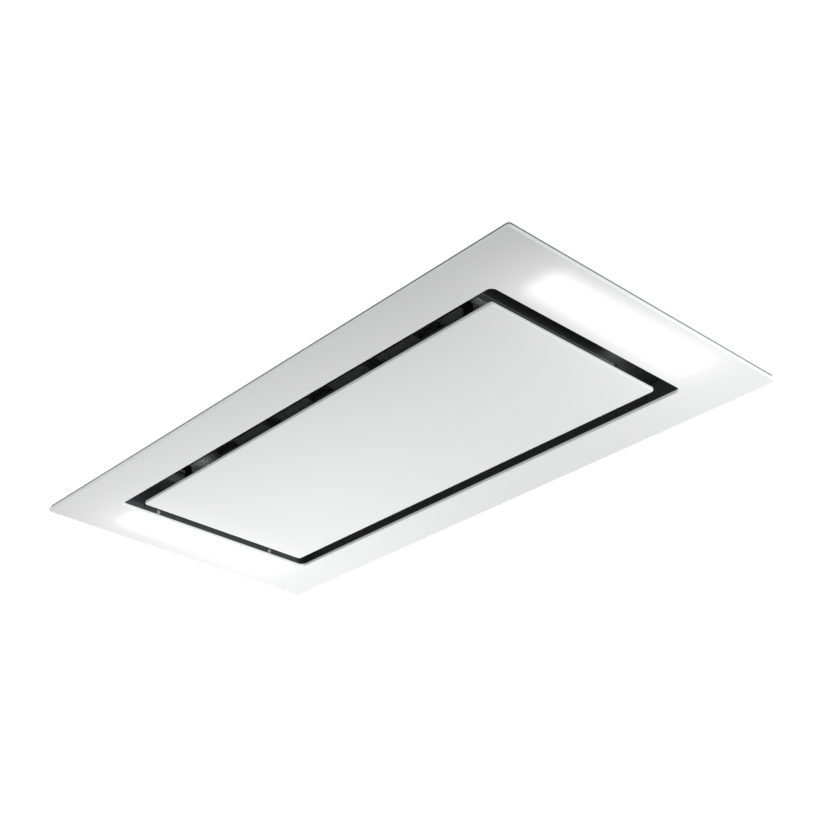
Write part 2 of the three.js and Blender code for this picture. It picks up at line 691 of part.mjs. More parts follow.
// A flat lid with a rim that plugs into the shell, stiffened by beads pressed down into it.
function topCover() {
  const lid = prism(roundedRectangle(shellOuter, BODY_CORNER, 3), [], coverBottom, BODY_TOP);
  const rim = walls(
    shellInner.map((value) => value - SEAT),
    SHEET,
    BODY_CORNER - SHEET,
    coverBottom - COVER_RIM,
    coverBottom + SHEET / 2,
  );
  const bead = (x, half, z0, z1) =>
    block([x - half, x + half], [COVER_BEAD_END - shellOuter[1], shellOuter[1] - COVER_BEAD_END], [z0, z1]);
  const beadX = sides.map(([, side]) => (side * COVER_BEAD_SPACING) / 2);
  const half = COVER_BEAD_WIDTH / 2;
  const ridges = beadX.map((x) => bead(x, half, coverBottom - COVER_BEAD_DEPTH, BODY_TOP - SHEET / 2));
  const grooves = beadX.map((x) => bead(x, half - SHEET, BODY_TOP - COVER_BEAD_DEPTH, BODY_TOP + 1));
  return cut(join(lid, rim, ...ridges), ...grooves);
}

// ---- grease filters ----
const latchY = -FILTER_DEPTH / 2; // outer face of the filter's rail at its latch

function filterFrame(x) {
  const half = [FILTER_LENGTH / 2, FILTER_DEPTH / 2];
  const outline = roundedRectangle(half, FILTER_CORNER, 1);
  const top = DECK_BOTTOM + FILTER_HEIGHT;
  const lipHole = roundedRectangle(half.map((value) => value - FILTER_RAIL), FILTER_CORNER, 1);
  const wallHole = roundedRectangle(half.map((value) => value - FILTER_WALL), 1, 1);
  const lip = prism(outline, [lipHole], DECK_BOTTOM, DECK_BOTTOM + FILTER_LIP);
  const wall = prism(outline, [wallHole], DECK_BOTTOM, top);
  const seat = block(
    [-LATCH_SEAT_LENGTH / 2, LATCH_SEAT_LENGTH / 2],
    [latchY + 1, latchY + LATCH_SEAT_DEPTH],
    [DECK_BOTTOM, top],
  );
  const tabs = sides.map(([, side]) => {
    const centre = (side * FILTER_TAB_SPACING) / 2;
    return block(
      [centre - FILTER_TAB_WIDTH / 2, centre + FILTER_TAB_WIDTH / 2],
      [half[1] - 1, half[1] + FILTER_PLAY + FILTER_TAB_REACH],
      [deckTop + SEAT, deckTop + SEAT + FILTER_TAB_THICKNESS],
    );
  });
  const slot = block(
    [-LATCH_LENGTH / 2 - SEAT, LATCH_LENGTH / 2 + SEAT],
    [latchY - 1, latchY + LATCH_DEPTH + LATCH_TRAVEL + SEAT + 2],
    [DECK_BOTTOM - 1, DECK_BOTTOM + LATCH_HEIGHT],
  );
  return cut(join(lip, wall, seat, ...tabs), slot).translate([x, 0, 0]);
}

// A sheet with staggered rows of diamond holes, bare round the latch.
function filterSheet(x) {
  const half = [FILTER_LENGTH, FILTER_DEPTH].map((value) => value / 2 - FILTER_WALL - SEAT);
  const z0 = DECK_BOTTOM + FILTER_LIP + SEAT;
  const z1 = z0 + FILTER_SHEET_THICKNESS;
  const field = [FILTER_LENGTH, FILTER_DEPTH].map((value) => value / 2 - FILTER_RAIL);
  const pitch = [(2 * field[0]) / SHEET_HOLES_X, (2 * field[1]) / (SHEET_HOLES_Y + 1)];
  const reach = pitch.map((value) => (value * SHEET_HOLE_SHARE) / 2);
  const holes = [];
  for (let column = 0; column < SHEET_HOLES_X; column++) {
    const rows = SHEET_HOLES_Y + (column % 2);
    const cx = (column - (SHEET_HOLES_X - 1) / 2) * pitch[0];
    for (let row = 0; row < rows; row++) {
      const cy = (row - (rows - 1) / 2) * pitch[1];
      const besideLatch = Math.abs(cx) - reach[0] > LATCH_SEAT_LENGTH / 2 + SHEET_MARGIN;
      const pastLatch = cy - reach[1] > latchY + LATCH_SEAT_DEPTH + SHEET_MARGIN;
      if (besideLatch || pastLatch) {
        const diamond = circle(reach[0], 4).map((p) => p.setY((p.y * reach[1]) / reach[0]));
        holes.push(moved(diamond, cx, cy));
      }
    }
  }
  const sheet = prism(roundedRectangle(half, FILTER_CORNER - FILTER_WALL, 1), holes, z0, z1);
  const notch = block(
    [-LATCH_SEAT_LENGTH / 2 - SEAT, LATCH_SEAT_LENGTH / 2 + SEAT],
    [latchY - 1, latchY + LATCH_SEAT_DEPTH + SEAT],
    [z0 - 1, z1 + 1],
  );
  return cut(sheet, notch).translate([x, 0, 0]);
}

function filterLatch(x) {
  const slideTop = DECK_BOTTOM + LATCH_HEIGHT - SEAT;
  const body = block(
    [-LATCH_LENGTH / 2, LATCH_LENGTH / 2],
    [latchY + LATCH_SETBACK, latchY + LATCH_DEPTH],
    [DECK_BOTTOM + SEAT, slideTop],
  );
  const tongue = block(
    [-LATCH_TONGUE_WIDTH / 2, LATCH_TONGUE_WIDTH / 2],
    [latchY - FILTER_PLAY - FILTER_TAB_REACH + 1, latchY + 2 * LATCH_SETBACK],
    [deckTop + SEAT, slideTop],
  );
  const grip = block(
    [-LATCH_LENGTH / 2, LATCH_LENGTH / 2],
    [latchY + LATCH_DEPTH - LATCH_GRIP_THICKNESS, latchY + LATCH_DEPTH],
    [DECK_BOTTOM - LATCH_GRIP_DROP, slideTop],
  );
  return join(body, tongue, grip).translate([x, 0, 0]);
}

// ---- LED units above the glass at both ends ----
function ledHousing(side) {
  const half = [LED_WINDOW_WIDTH / 2, LED_WINDOW_LENGTH / 2];
  const bottom = trayTop + SEAT;
  const hole = roundedRectangle(half, LED_CORNER, 3);
  const rim = roundedRectangle(half.map((value) => value + LED_HOUSING_FLANGE), LED_CORNER, 1);
  const flange = prism(rim, [hole], bottom, bottom + SHEET);
  const outline = roundedRectangle(half.map((value) => value + SHEET), LED_CORNER + SHEET, 3);
  const wall = prism(outline, [hole], bottom, LED_HOUSING_TOP);
  const lid = prism(outline, [], LED_HOUSING_TOP - SHEET, LED_HOUSING_TOP);
  return join(flange, wall, lid).translate([side * ledCentre, 0, 0]);
}

function ledStrip(side) {
  const top = LED_HOUSING_TOP - SHEET - SEAT;
  const board = block(
    [-LED_STRIP_WIDTH / 2, LED_STRIP_WIDTH / 2],
    [-LED_STRIP_LENGTH / 2, LED_STRIP_LENGTH / 2],
    [top - LED_BOARD_THICKNESS, top],
  );
  const chips = [...Array(LED_COUNT).keys()].map((i) => {
    const y = ((i + 0.5) / LED_COUNT - 0.5) * LED_STRIP_LENGTH;
    return block(
      [-LED_SIZE / 2, LED_SIZE / 2],
      [y - LED_SIZE / 2, y + LED_SIZE / 2],
      [top - LED_BOARD_THICKNESS - LED_HEIGHT, top - LED_BOARD_THICKNESS / 2],
    );
  });
  return join(board, ...chips).translate([side * ledCentre, 0, 0]);
}

function ledDiffuser(side) {
  const outline = ledWindows(LED_DIFFUSER_PLAY)[side > 0 ? 1 : 0];
  return prism(outline, [], trayFloor, trayFloor + LED_DIFFUSER_THICKNESS);
}

// ---- blower ----
// The spiral grows evenly with the angle from the tongue to a full turn.
function scrollRadius(angle) {
  const share = (angle - SCROLL_TONGUE_ANGLE) / (2 * Math.PI - SCROLL_TONGUE_ANGLE);
  return SCROLL_START_RADIUS + (SCROLL_END_RADIUS - SCROLL_START_RADIUS) * share;
}

// The casing's outline at a distance outside its air space:
// a spiral round the wheel that runs out into the outlet.
function scrollOutline(offset) {
  const [tongueX, tongueY] = SCROLL_TONGUE_SHIFT;
  const mouth = shellInner[1] - SEAT - BLOWER_Y;
  const start = SCROLL_TONGUE_ANGLE + (offset * 1.2) / SCROLL_START_RADIUS;
  const points = [];
  for (let i = 0; i <= SCROLL_STEPS; i++) {
    const angle = start + ((2 * Math.PI - start) * i) / SCROLL_STEPS;
    const radius = scrollRadius(angle) + offset;
    points.push([radius * Math.cos(angle), radius * Math.sin(angle)]);
  }
  points.push([SCROLL_END_RADIUS + offset, mouth]);
  points.push([SCROLL_END_RADIUS - SCROLL_OUTLET_WIDTH - offset, mouth]);
  points.push([tongueX - offset, tongueY - offset * 0.3]);
  return points.map(([x, y]) => new THREE.Vector2(x + BLOWER_X, y + BLOWER_Y));
}

function scrollLugs(z0, z1) {
  return SCROLL_LUG_ANGLES.map((degrees) => {
    const wall = scrollRadius((degrees * Math.PI) / 180) + SCROLL_WALL / 2;
    const lug = block([0, SCROLL_LUG], [-SCROLL_LUG / 2, SCROLL_LUG / 2], [z0, z1]);
    return lug
      .translate([wall, 0, 0])
      .rotate([0, 0, degrees])
      .translate([BLOWER_X, BLOWER_Y, 0]);
  });
}

function blowerLower() {
  const outer = scrollOutline(SCROLL_WALL);
  const top = scrollSplit - SEAT / 2;
  const floor = prism(outer, [], SCROLL_FLOOR, SCROLL_FLOOR + SCROLL_WALL);
  const wall = prism(outer, [], SCROLL_FLOOR, top).subtract(
    prism(scrollOutline(0), [], SCROLL_FLOOR - 1, top + 1),
  );
  const lip = turned(
    [
      [SCROLL_INLET_RADIUS - 1, SCROLL_FLOOR],
      [SCROLL_INLET_RADIUS + SCROLL_WALL, SCROLL_FLOOR],
      [SCROLL_INLET_RADIUS + SCROLL_WALL, SCROLL_FLOOR + SCROLL_WALL + SCROLL_INLET_LIP],
      [SCROLL_INLET_RADIUS, SCROLL_FLOOR + SCROLL_WALL + SCROLL_INLET_LIP],
      [SCROLL_INLET_RADIUS - 1, SCROLL_FLOOR],
    ],
    LARGE_ROUND_SIDES,
    [BLOWER_X, BLOWER_Y],
  );
  const inlet = rod(
    SCROLL_INLET_RADIUS,
    SCROLL_FLOOR - 1,
    SCROLL_FLOOR + SCROLL_WALL + 1,
    LARGE_ROUND_SIDES,
    [BLOWER_X, BLOWER_Y],
  );
  const lugs = scrollLugs(top - SCROLL_LUG_HEIGHT, top);
  return join(cut(join(floor, wall), inlet), lip, ...lugs);
}

function blowerUpper() {
  const outer = scrollOutline(SCROLL_WALL);
  const bottom = scrollSplit + SEAT / 2;
  const roofBottom = SCROLL_ROOF - SCROLL_WALL;
  const roof = prism(outer, [], roofBottom, SCROLL_ROOF);
  const wall = prism(outer, [], bottom, SCROLL_ROOF).subtract(
    prism(scrollOutline(0), [], bottom - 1, SCROLL_ROOF + 1),
  );
  const buffers = BUFFER_ANGLES.map((degrees) => {
    const angle = (degrees * Math.PI) / 180;
    return rod(BUFFER_RADIUS, SCROLL_ROOF - 1, coverBottom - SEAT, SCREW_ROUND_SIDES, [
      BLOWER_X + BUFFER_CIRCLE * Math.cos(angle),
      BLOWER_Y + BUFFER_CIRCLE * Math.sin(angle),
    ]);
  });
  const vents = [...Array(MOTOR_VENTS).keys()].map((i) => {
    const angle = (i * 2 * Math.PI) / MOTOR_VENTS;
    return rod(MOTOR_VENT_RADIUS, roofBottom - 1, SCROLL_ROOF + 1, SCREW_ROUND_SIDES, [
      BLOWER_X + MOTOR_VENT_CIRCLE * Math.cos(angle),
      BLOWER_Y + MOTOR_VENT_CIRCLE * Math.sin(angle),
    ]);
  });
  const lugs = scrollLugs(bottom, bottom + SCROLL_LUG_HEIGHT);
  return cut(join(roof, wall, ...buffers, ...lugs), ...vents);
}

function blowerMotor() {
  const top = SCROLL_ROOF - SCROLL_WALL - SEAT;
  const can = turned(
    [
      [0, SHAFT_END],
      [SHAFT_RADIUS, SHAFT_END],
      [SHAFT_RADIUS, MOTOR_BOTTOM - MOTOR_BOSS_HEIGHT],
      [MOTOR_BOSS_RADIUS, MOTOR_BOTTOM - MOTOR_BOSS_HEIGHT],
      [MOTOR_BOSS_RADIUS, MOTOR_BOTTOM],
      [MOTOR_RADIUS - MOTOR_CHAMFER, MOTOR_BOTTOM],
      [MOTOR_RADIUS, MOTOR_BOTTOM + MOTOR_CHAMFER],
      [MOTOR_RADIUS, top - MOTOR_FLANGE_THICKNESS],
      [MOTOR_FLANGE_RADIUS, top - MOTOR_FLANGE_THICKNESS],
      [MOTOR_FLANGE_RADIUS, top],
      [0, top],
    ],
    24,
    [BLOWER_X, BLOWER_Y],
  );
  const ribWidth = [-MOTOR_RIB_WIDTH / 2, MOTOR_RIB_WIDTH / 2];
  const ribReach = [MOTOR_RADIUS - 1, MOTOR_RADIUS + MOTOR_RIB_REACH];
  const ribs = [...Array(MOTOR_RIBS).keys()].map((i) =>
    block(ribReach, ribWidth, [MOTOR_BOTTOM + MOTOR_RIB_START, top - 1])
      .rotate([0, 0, (360 * i) / MOTOR_RIBS])
      .translate([BLOWER_X, BLOWER_Y, 0]),
  );
  return join(can, ...ribs);
}

// One forward-curved blade: its middle line leans ahead with the square of the way from eye to rim.
function bladeOutline(turn) {
  const steps = 2;
  const edge = (offset) =>
    [...Array(steps + 1).keys()].map((i) => {
      const share = i / steps;
      const radius =
        IMPELLER_EYE_RADIUS + 1 + (IMPELLER_RADIUS - IMPELLER_EYE_RADIUS - 2) * share;
      const angle = turn + IMPELLER_BLADE_SWEEP * share * share + offset / radius;
      return new THREE.Vector2(
        BLOWER_X + radius * Math.cos(angle),
        BLOWER_Y + radius * Math.sin(angle),
      );
    });
  const half = IMPELLER_BLADE_THICKNESS / 2;
  return [...edge(-half), ...edge(half).reverse()];
}

function impeller() {
  const centre = [BLOWER_X, BLOWER_Y];
  const rimBottom = turned(
    [
      [IMPELLER_EYE_RADIUS, IMPELLER_BOTTOM],
      [IMPELLER_RADIUS, IMPELLER_BOTTOM],
      [IMPELLER_RADIUS, IMPELLER_BOTTOM + IMPELLER_SHELL],
      [IMPELLER_EYE_RADIUS, IMPELLER_BOTTOM + IMPELLER_SHELL],
      [IMPELLER_EYE_RADIUS, IMPELLER_BOTTOM],
    ],
    LARGE_ROUND_SIDES,
    centre,
  );
  const hubBottom = IMPELLER_WELL_FLOOR - HUB_LENGTH;
  const bore = SHAFT_RADIUS + PIN_PLAY;
  const back = turned(
    [
      [bore, hubBottom],
      [HUB_RADIUS, hubBottom],
      [HUB_RADIUS, IMPELLER_WELL_FLOOR - IMPELLER_SHELL],
      [IMPELLER_WELL_FLOOR_RADIUS, IMPELLER_WELL_FLOOR - IMPELLER_SHELL],
      [IMPELLER_WELL_TOP_RADIUS, IMPELLER_TOP - IMPELLER_SHELL],
      [IMPELLER_RADIUS, IMPELLER_TOP - IMPELLER_SHELL],
      [IMPELLER_RADIUS, IMPELLER_TOP],
      [IMPELLER_WELL_TOP_RADIUS - IMPELLER_SHELL, IMPELLER_TOP],
      [IMPELLER_WELL_FLOOR_RADIUS - IMPELLER_SHELL, IMPELLER_WELL_FLOOR],
      [bore, IMPELLER_WELL_FLOOR],
      [bore, hubBottom],
    ],
    LARGE_ROUND_SIDES,
    centre,
  );
  const blades = [...Array(IMPELLER_BLADES).keys()].map((i) =>
    prism(
      bladeOutline((i * 2 * Math.PI) / IMPELLER_BLADES),
      [],
      IMPELLER_BOTTOM + IMPELLER_SHELL / 2,
      IMPELLER_TOP - IMPELLER_SHELL / 2,
    ),
  );
  return join(back, rimBottom, ...blades);
}

function capacitor() {
  const top = coverBottom - SEAT;
  return turned(
    [
      [0, top - CAPACITOR_LENGTH - CAPACITOR_STUD_LENGTH],
      [CAPACITOR_STUD_RADIUS, top - CAPACITOR_LENGTH - CAPACITOR_STUD_LENGTH],
      [CAPACITOR_STUD_RADIUS, top - CAPACITOR_LENGTH],
      [CAPACITOR_RADIUS, top - CAPACITOR_LENGTH],
      [CAPACITOR_RADIUS, top - CAPACITOR_CHAMFER],
      [CAPACITOR_RADIUS - CAPACITOR_CHAMFER, top],
      [0, top],
    ],
    24,
    CAPACITOR_PLACE,
  );
}

// ---- duct collar with its non-return flaps ----
function ductCollar() {
  const inner = DUCT_RADIUS - DUCT_WALL;
  const flange = prism(
    roundedRectangle([DUCT_FLANGE_LENGTH / 2, DUCT_FLANGE_HEIGHT / 2], DUCT_FLANGE_CORNER, 4),
    [circle(inner, LARGE_ROUND_SIDES)],
    0,
    DUCT_FLANGE_THICKNESS,
  );
  const tube = turned(
    [
      [inner, DUCT_FLANGE_THICKNESS / 2],
      [DUCT_RADIUS, DUCT_FLANGE_THICKNESS / 2],
      [DUCT_RADIUS, DUCT_LENGTH - DUCT_BEAD_PLACE - DUCT_BEAD],
      [DUCT_RADIUS + DUCT_BEAD, DUCT_LENGTH - DUCT_BEAD_PLACE],
      [DUCT_RADIUS, DUCT_LENGTH - DUCT_BEAD_PLACE + DUCT_BEAD],
      [DUCT_RADIUS, DUCT_LENGTH - DUCT_CHAMFER],
      [DUCT_RADIUS - DUCT_CHAMFER, DUCT_LENGTH],
      [inner, DUCT_LENGTH],
      [inner, DUCT_FLANGE_THICKNESS / 2],
    ],
    LARGE_ROUND_SIDES,
  );
  const reach = DUCT_RADIUS + CUTTER / 2;
  const pinHole = rod(FLAP_PIN_RADIUS + PIN_PLAY, -reach, reach, PIN_ROUND_SIDES);
  const laid = join(flange, tube).rotate([-90, 0, 0]).translate([0, ductStart, 0]);
  return cut(laid, pinHole.translate([0, flapAxisY, 0])).translate([outletX, 0, ductHeight]);
}

function flapPin() {
  const end = DUCT_RADIUS - FLAP_PIN_INSET;
  return rod(FLAP_PIN_RADIUS, -end, end, PIN_ROUND_SIDES).translate([
    outletX,
    flapAxisY,
    ductHeight,
  ]);
}

// Half a disc with its own knuckles on the shared pin: one in the middle, or one at each end.
function flap(side) {
  const radius = DUCT_RADIUS - DUCT_WALL - FLAP_RIM_PLAY;
  const steps = 14;
  const limit = Math.acos(FLAP_NECK / radius);
  const outline = [...Array(steps + 1).keys()].map((i) => {
    const angle = -limit + (2 * limit * i) / steps;
    return new THREE.Vector2(side * radius * Math.cos(angle), radius * Math.sin(angle));
  });
  const halfDisc = side > 0 ? outline : outline.reverse();
  const leaf = prism(halfDisc, [], -FLAP_THICKNESS / 2, FLAP_THICKNESS / 2).rotate([90, 0, 0]);
  const half = FLAP_KNUCKLE_LENGTH / 2;
  const spans =
    side > 0
      ? [[-half, half]]
      : [-1, 1].map((end) => {
          const near = end * (half + FLAP_KNUCKLE_GAP);
          const far = end * (half + FLAP_KNUCKLE_GAP + FLAP_KNUCKLE_LENGTH);
          return [Math.min(near, far), Math.max(near, far)];
        });
  const knuckles = spans.flatMap(([z0, z1]) => [
    rod(FLAP_KNUCKLE_RADIUS, z0, z1, PIN_ROUND_SIDES),
    block(
      side > 0 ? [0, FLAP_NECK + 2] : [-FLAP_NECK - 2, 0],
      [-FLAP_THICKNESS / 2, FLAP_THICKNESS / 2],
      [z0, z1],
    ),
  ]);
  const bore = rod(FLAP_PIN_RADIUS + PIN_PLAY, -DUCT_RADIUS, DUCT_RADIUS, PIN_ROUND_SIDES);
  return cut(join(leaf, ...knuckles), bore).translate([outletX, flapAxisY, ductHeight]);
}

// ---- control box ----
const controlOuterX = shellInner[0] - SEAT;
const controlTop = CONTROL_BOTTOM + CONTROL_HEIGHT;

function controlBox() {
  const y = [CONTROL_Y - CONTROL_LENGTH / 2, CONTROL_Y + CONTROL_LENGTH / 2];
  const inset = ([low, high]) => [low + CONTROL_WALL, high - CONTROL_WALL];
  const shell = block([controlOuterX - CONTROL_DEPTH, controlOuterX], y, [CONTROL_BOTTOM, controlTop]);
  const hollow = block(
    [controlOuterX - CONTROL_DEPTH - 1, controlOuterX - CONTROL_WALL],
    inset(y),
    inset([CONTROL_BOTTOM, controlTop]),
  );
  const hole = alongX(rod(GLAND_RADIUS + PIN_PLAY, 0, CUTTER, PIN_ROUND_SIDES), [
    controlOuterX - CUTTER / 2,
    CONTROL_Y,
    GLAND_HEIGHT,
  ]);
  return cut(shell, hollow, hole);
}

function controlLid() {
  const edge = controlOuterX - CONTROL_DEPTH - SEAT;
  const y = [CONTROL_Y - CONTROL_LENGTH / 2, CONTROL_Y + CONTROL_LENGTH / 2];
  const plate = block([edge - CONTROL_WALL, edge], y, [CONTROL_BOTTOM, controlTop]);
  const rib = block(
    [edge - CONTROL_WALL - LID_BEAD, edge - CONTROL_WALL / 2],
    [y[0] + LID_BEAD_INSET, y[1] - LID_BEAD_INSET],
    [CONTROL_BOTTOM + LID_BEAD_INSET, controlTop - LID_BEAD_INSET],
  );
  return join(plate, rib);
}

function terminalBlock() {
  const [depth, length, height] = TERMINAL_SIZE;
  const back = controlOuterX - CONTROL_WALL - SEAT;
  const bottom = CONTROL_BOTTOM + CONTROL_WALL + SEAT;
  const body = block(
    [back - depth, back],
    [CONTROL_Y - length / 2, CONTROL_Y + length / 2],
    [bottom, bottom + height],
  );
  const pitch = length / TERMINAL_WAYS;
  const wells = [...Array(TERMINAL_WAYS).keys()].map((i) =>
    alongX(rod(TERMINAL_WELL_RADIUS, 0, TERMINAL_WELL_DEPTH + 1, SCREW_ROUND_SIDES), [
      back - depth - 1,
      CONTROL_Y - length / 2 + (i + 0.5) * pitch,
      bottom + height / 2,
    ]),
  );
  return cut(body, ...wells);
}

function cableGland() {
  const outside = shellOuter[0] + SEAT;
  const reachIn = controlOuterX - CONTROL_WALL - GLAND_RADIUS;
  const profile = [
    [0, reachIn],
    [GLAND_RADIUS, reachIn],
    [GLAND_RADIUS, outside],
    [GLAND_HEX_RADIUS, outside],
    [GLAND_HEX_RADIUS, outside + GLAND_REACH * 0.5],
    [GLAND_RADIUS, outside + GLAND_REACH],
    [0, outside + GLAND_REACH],
  ];
  const bore = rod(GLAND_BORE, reachIn - 1, outside + GLAND_REACH + 1, PIN_ROUND_SIDES);
  return alongX(cut(turned(profile, PIN_ROUND_SIDES), bore), [0, CONTROL_Y, GLAND_HEIGHT]);
}

// ---- ceiling clamps and hanger rails ----
function clampScrew(x, side) {
  const head = CLAMP_LOWER_EAR - SEAT;
  const end = CLAMP_UPPER_EAR + CLAMP_EAR_THICKNESS + CLAMP_SCREW_END;
  const profile = [
    [0, head - CLAMP_HEAD_HEIGHT],
    [CLAMP_HEAD_RADIUS, head - CLAMP_HEAD_HEIGHT],
    [CLAMP_HEAD_RADIUS, head],
    [CLAMP_SCREW_RADIUS, head],
    [CLAMP_SCREW_RADIUS, end],
    [0, end],
  ];
  return turned(profile, PIN_ROUND_SIDES, [x, side * clampY]);
}

// A dog that stands out over the ceiling board; its foot is turned down to bite.
function clampDog(x, side) {
  const top = clampDogBottom + CLAMP_DOG_HEIGHT;
  const hub = rod(CLAMP_DOG_RADIUS, clampDogBottom + CLAMP_DOG_HUB_LIFT, top, PIN_ROUND_SIDES);
  const arm = block(
    [-CLAMP_DOG_RADIUS, CLAMP_DOG_RADIUS],
    [0, CLAMP_DOG_REACH],
    [top - CLAMP_DOG_THICKNESS, top],
  );
  const foot = block(
    [-CLAMP_DOG_RADIUS, CLAMP_DOG_RADIUS],
    [CLAMP_DOG_REACH - CLAMP_DOG_THICKNESS, CLAMP_DOG_REACH],
    [clampDogBottom, top],
  );
  const bore = rod(CLAMP_SCREW_RADIUS + PIN_PLAY, clampDogBottom - 1, top + 1, PIN_ROUND_SIDES);
  return cut(join(hub, arm, foot), bore)
    .rotate([0, 0, side > 0 ? 0 : 180])
    .translate([x, side * clampY, 0]);
}

function hangerRail(side) {
  const x0 = shellOuter[0] + SEAT;
  const web = block(
    [x0, x0 + HANGER_THICKNESS],
    [-HANGER_LENGTH / 2, HANGER_LENGTH / 2],
    [HANGER_BOTTOM, BODY_TOP],
  );
  const shelf = block(
    [x0, x0 + HANGER_REACH],
    [-HANGER_LENGTH / 2, HANGER_LENGTH / 2],
    [BODY_TOP - HANGER_THICKNESS, BODY_TOP],
  );
  const slotX = x0 + HANGER_REACH / 2 + HANGER_THICKNESS;
  const slots = sides.map(([, end]) =>
    prism(
      moved(
        roundedRectangle([HANGER_SLOT_RADIUS, HANGER_SLOT_LENGTH / 2], HANGER_SLOT_RADIUS - 0.01, 4),
        slotX,
        (end * HANGER_SLOT_SPACING) / 2,
      ),
      [],
      BODY_TOP - HANGER_THICKNESS - 1,
      BODY_TOP + 1,
    ),
  );
  const glandNotch = block(
    [x0 - 1, x0 + HANGER_THICKNESS + 1],
    [CONTROL_Y - GLAND_HEX_RADIUS - 2, CONTROL_Y + GLAND_HEX_RADIUS + 2],
    [HANGER_BOTTOM - 1, GLAND_HEIGHT + GLAND_HEX_RADIUS + 2],
  );
  const rail = cut(join(web, shelf), ...slots, glandNotch);
  return side > 0 ? rail : rail.rotate([0, 0, 180]);
}

// ---- assembly ----
place("glass_frame", glassFrame(), "whiteGlass");
place("frame_tray", frameTray(), "darkSteel");
place("ceiling_gasket", ceilingGasket(), "foam");
frameScrewPlaces().forEach(([side, y], i) =>
  place(`frame_screw_${i + 1}`, frameScrew(side, y), "steel"),
);

const panel = new THREE.Group();
hood.add(panel);
place("panel_glass", panelGlass(), "whiteGlass", panel);
place("panel_tray", panelTray(), "blackPaint", panel);
sides.forEach(([name, side]) => {
  const x = side * hingeX;
  place(`catch_bracket_${name}`, catchBracket(x), "blackPaint", panel);
  place(`hinge_leaf_${name}`, hingeLeaf(x), "steel", panel);
  place(`hinge_bracket_${name}`, hingeBracket(x), "steel");
  place(`catch_magnet_${name}`, catchMagnet(x), "darkSteel");
});

place("recess_liner", recessLiner(), "blackPaint");
place("filter_deck", filterDeck(), "blackPaint");
place("body_shell", bodyShell(), "galvanised");
place("top_cover", topCover(), "galvanised");

filterPlaces.forEach((x, i) => {
  place(`filter_frame_${i + 1}`, filterFrame(x), "aluminium");
  place(`filter_sheet_${i + 1}`, filterSheet(x), "aluminium");
  place(`filter_latch_${i + 1}`, filterLatch(x), "blackPlastic");
});

sides.forEach(([name, side]) => {
  place(`led_housing_${name}`, ledHousing(side), "galvanised");
  place(`led_strip_${name}`, ledStrip(side), "whitePlastic");
  place(`led_diffuser_${name}`, ledDiffuser(side), "opal");
  place(`hanger_rail_${name}`, hangerRail(side), "galvanised");
});

place("blower_lower", blowerLower(), "greyPlastic");
place("blower_upper", blowerUpper(), "greyPlastic");
place("blower_motor", blowerMotor(), "steel");
place("impeller", impeller(), "blackPlastic");
place("capacitor", capacitor(), "whitePlastic");
place("duct_collar", ductCollar(), "blackPlastic");
place("flap_pin", flapPin(), "steel");
place("flap_left", flap(-1), "greyPlastic");
place("flap_right", flap(1), "greyPlastic");
place("control_box", controlBox(), "whitePlastic");
place("control_lid", controlLid(), "whitePlastic");
place("terminal_block", terminalBlock(), "greyPlastic");
place("cable_gland", cableGland(), "blackPlastic");

clampPlaces().forEach(([x, side], i) => {
  place(`clamp_screw_${i + 1}`, clampScrew(x, side), "steel");
  place(`clamp_dog_${i + 1}`, clampDog(x, side), "galvanised");
});

export default hood;
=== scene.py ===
import math

import bpy
import numpy as np
from mathutils import Matrix, Vector
from mathutils.geometry import tessellate_polygon


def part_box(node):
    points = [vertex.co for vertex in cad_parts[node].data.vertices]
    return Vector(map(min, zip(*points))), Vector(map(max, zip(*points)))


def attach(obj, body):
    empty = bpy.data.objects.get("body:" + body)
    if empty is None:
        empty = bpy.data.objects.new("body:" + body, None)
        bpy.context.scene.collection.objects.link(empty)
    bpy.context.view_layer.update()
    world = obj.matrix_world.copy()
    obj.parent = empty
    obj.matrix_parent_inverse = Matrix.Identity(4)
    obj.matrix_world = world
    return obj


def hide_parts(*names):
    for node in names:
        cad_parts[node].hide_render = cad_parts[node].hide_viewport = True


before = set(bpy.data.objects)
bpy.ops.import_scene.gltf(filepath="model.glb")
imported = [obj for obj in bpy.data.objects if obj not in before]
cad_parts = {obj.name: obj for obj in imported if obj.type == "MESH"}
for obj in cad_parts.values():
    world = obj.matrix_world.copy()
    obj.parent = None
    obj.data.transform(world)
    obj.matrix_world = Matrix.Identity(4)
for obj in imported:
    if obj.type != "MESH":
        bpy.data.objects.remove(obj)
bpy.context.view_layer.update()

bl_info = {
    "name": "Ceiling range hood",
    "version": (1, 0, 0),
    "blender": (4, 5, 0),
    "location": "3D View > Sidebar > Hood",
    "description": "Dresses a ceiling range hood with its glass, filters, blower, fittings and light",
    "category": "Object",
}

# Lengths are in millimetres; put() brings them to metres. +Z points up, and X runs along the hood.
MM = 0.001
SIDES = {"left": -1, "right": 1}
OPENING = (482.0, 211.0)  # half the length and half the width of the opening in the glass
OPENING_CORNER = 10.0
GLASS_CORNER = 5.0
GLASS_THICKNESS = 6.0
FLAT = 0.8  # upward share of a normal from which glass is a face and not an edge
SEAT = 0.3  # gap between a piece and what carries it
HINGE_LINE = (170.0, 34.0)  # its place in Y and Z
CATCH_RISER = -147.0  # where a catch bracket rises, in Y
FILTER_DEPTH = 312.0  # across the hood
ON_DECK = 61.5  # underside of what lies on the filter deck
LAMP_CHIPS = 12
BODY_SIDE = 245.0  # half the width of the body
BODY_END = 490.3  # its outer face at the control box
CASING_SCREW_HEIGHT = 224.0
BLOWER_CENTRE = (-90.0, -40.0)
SCROLL_TOP = 207.0
SCROLL_MOUTH = 243.5  # in Y
BLADES = 40
DUCT_HEIGHT = 148.5  # of the middle of the duct
FLAP_LINE = (0.0, 266.0)  # in X and Y


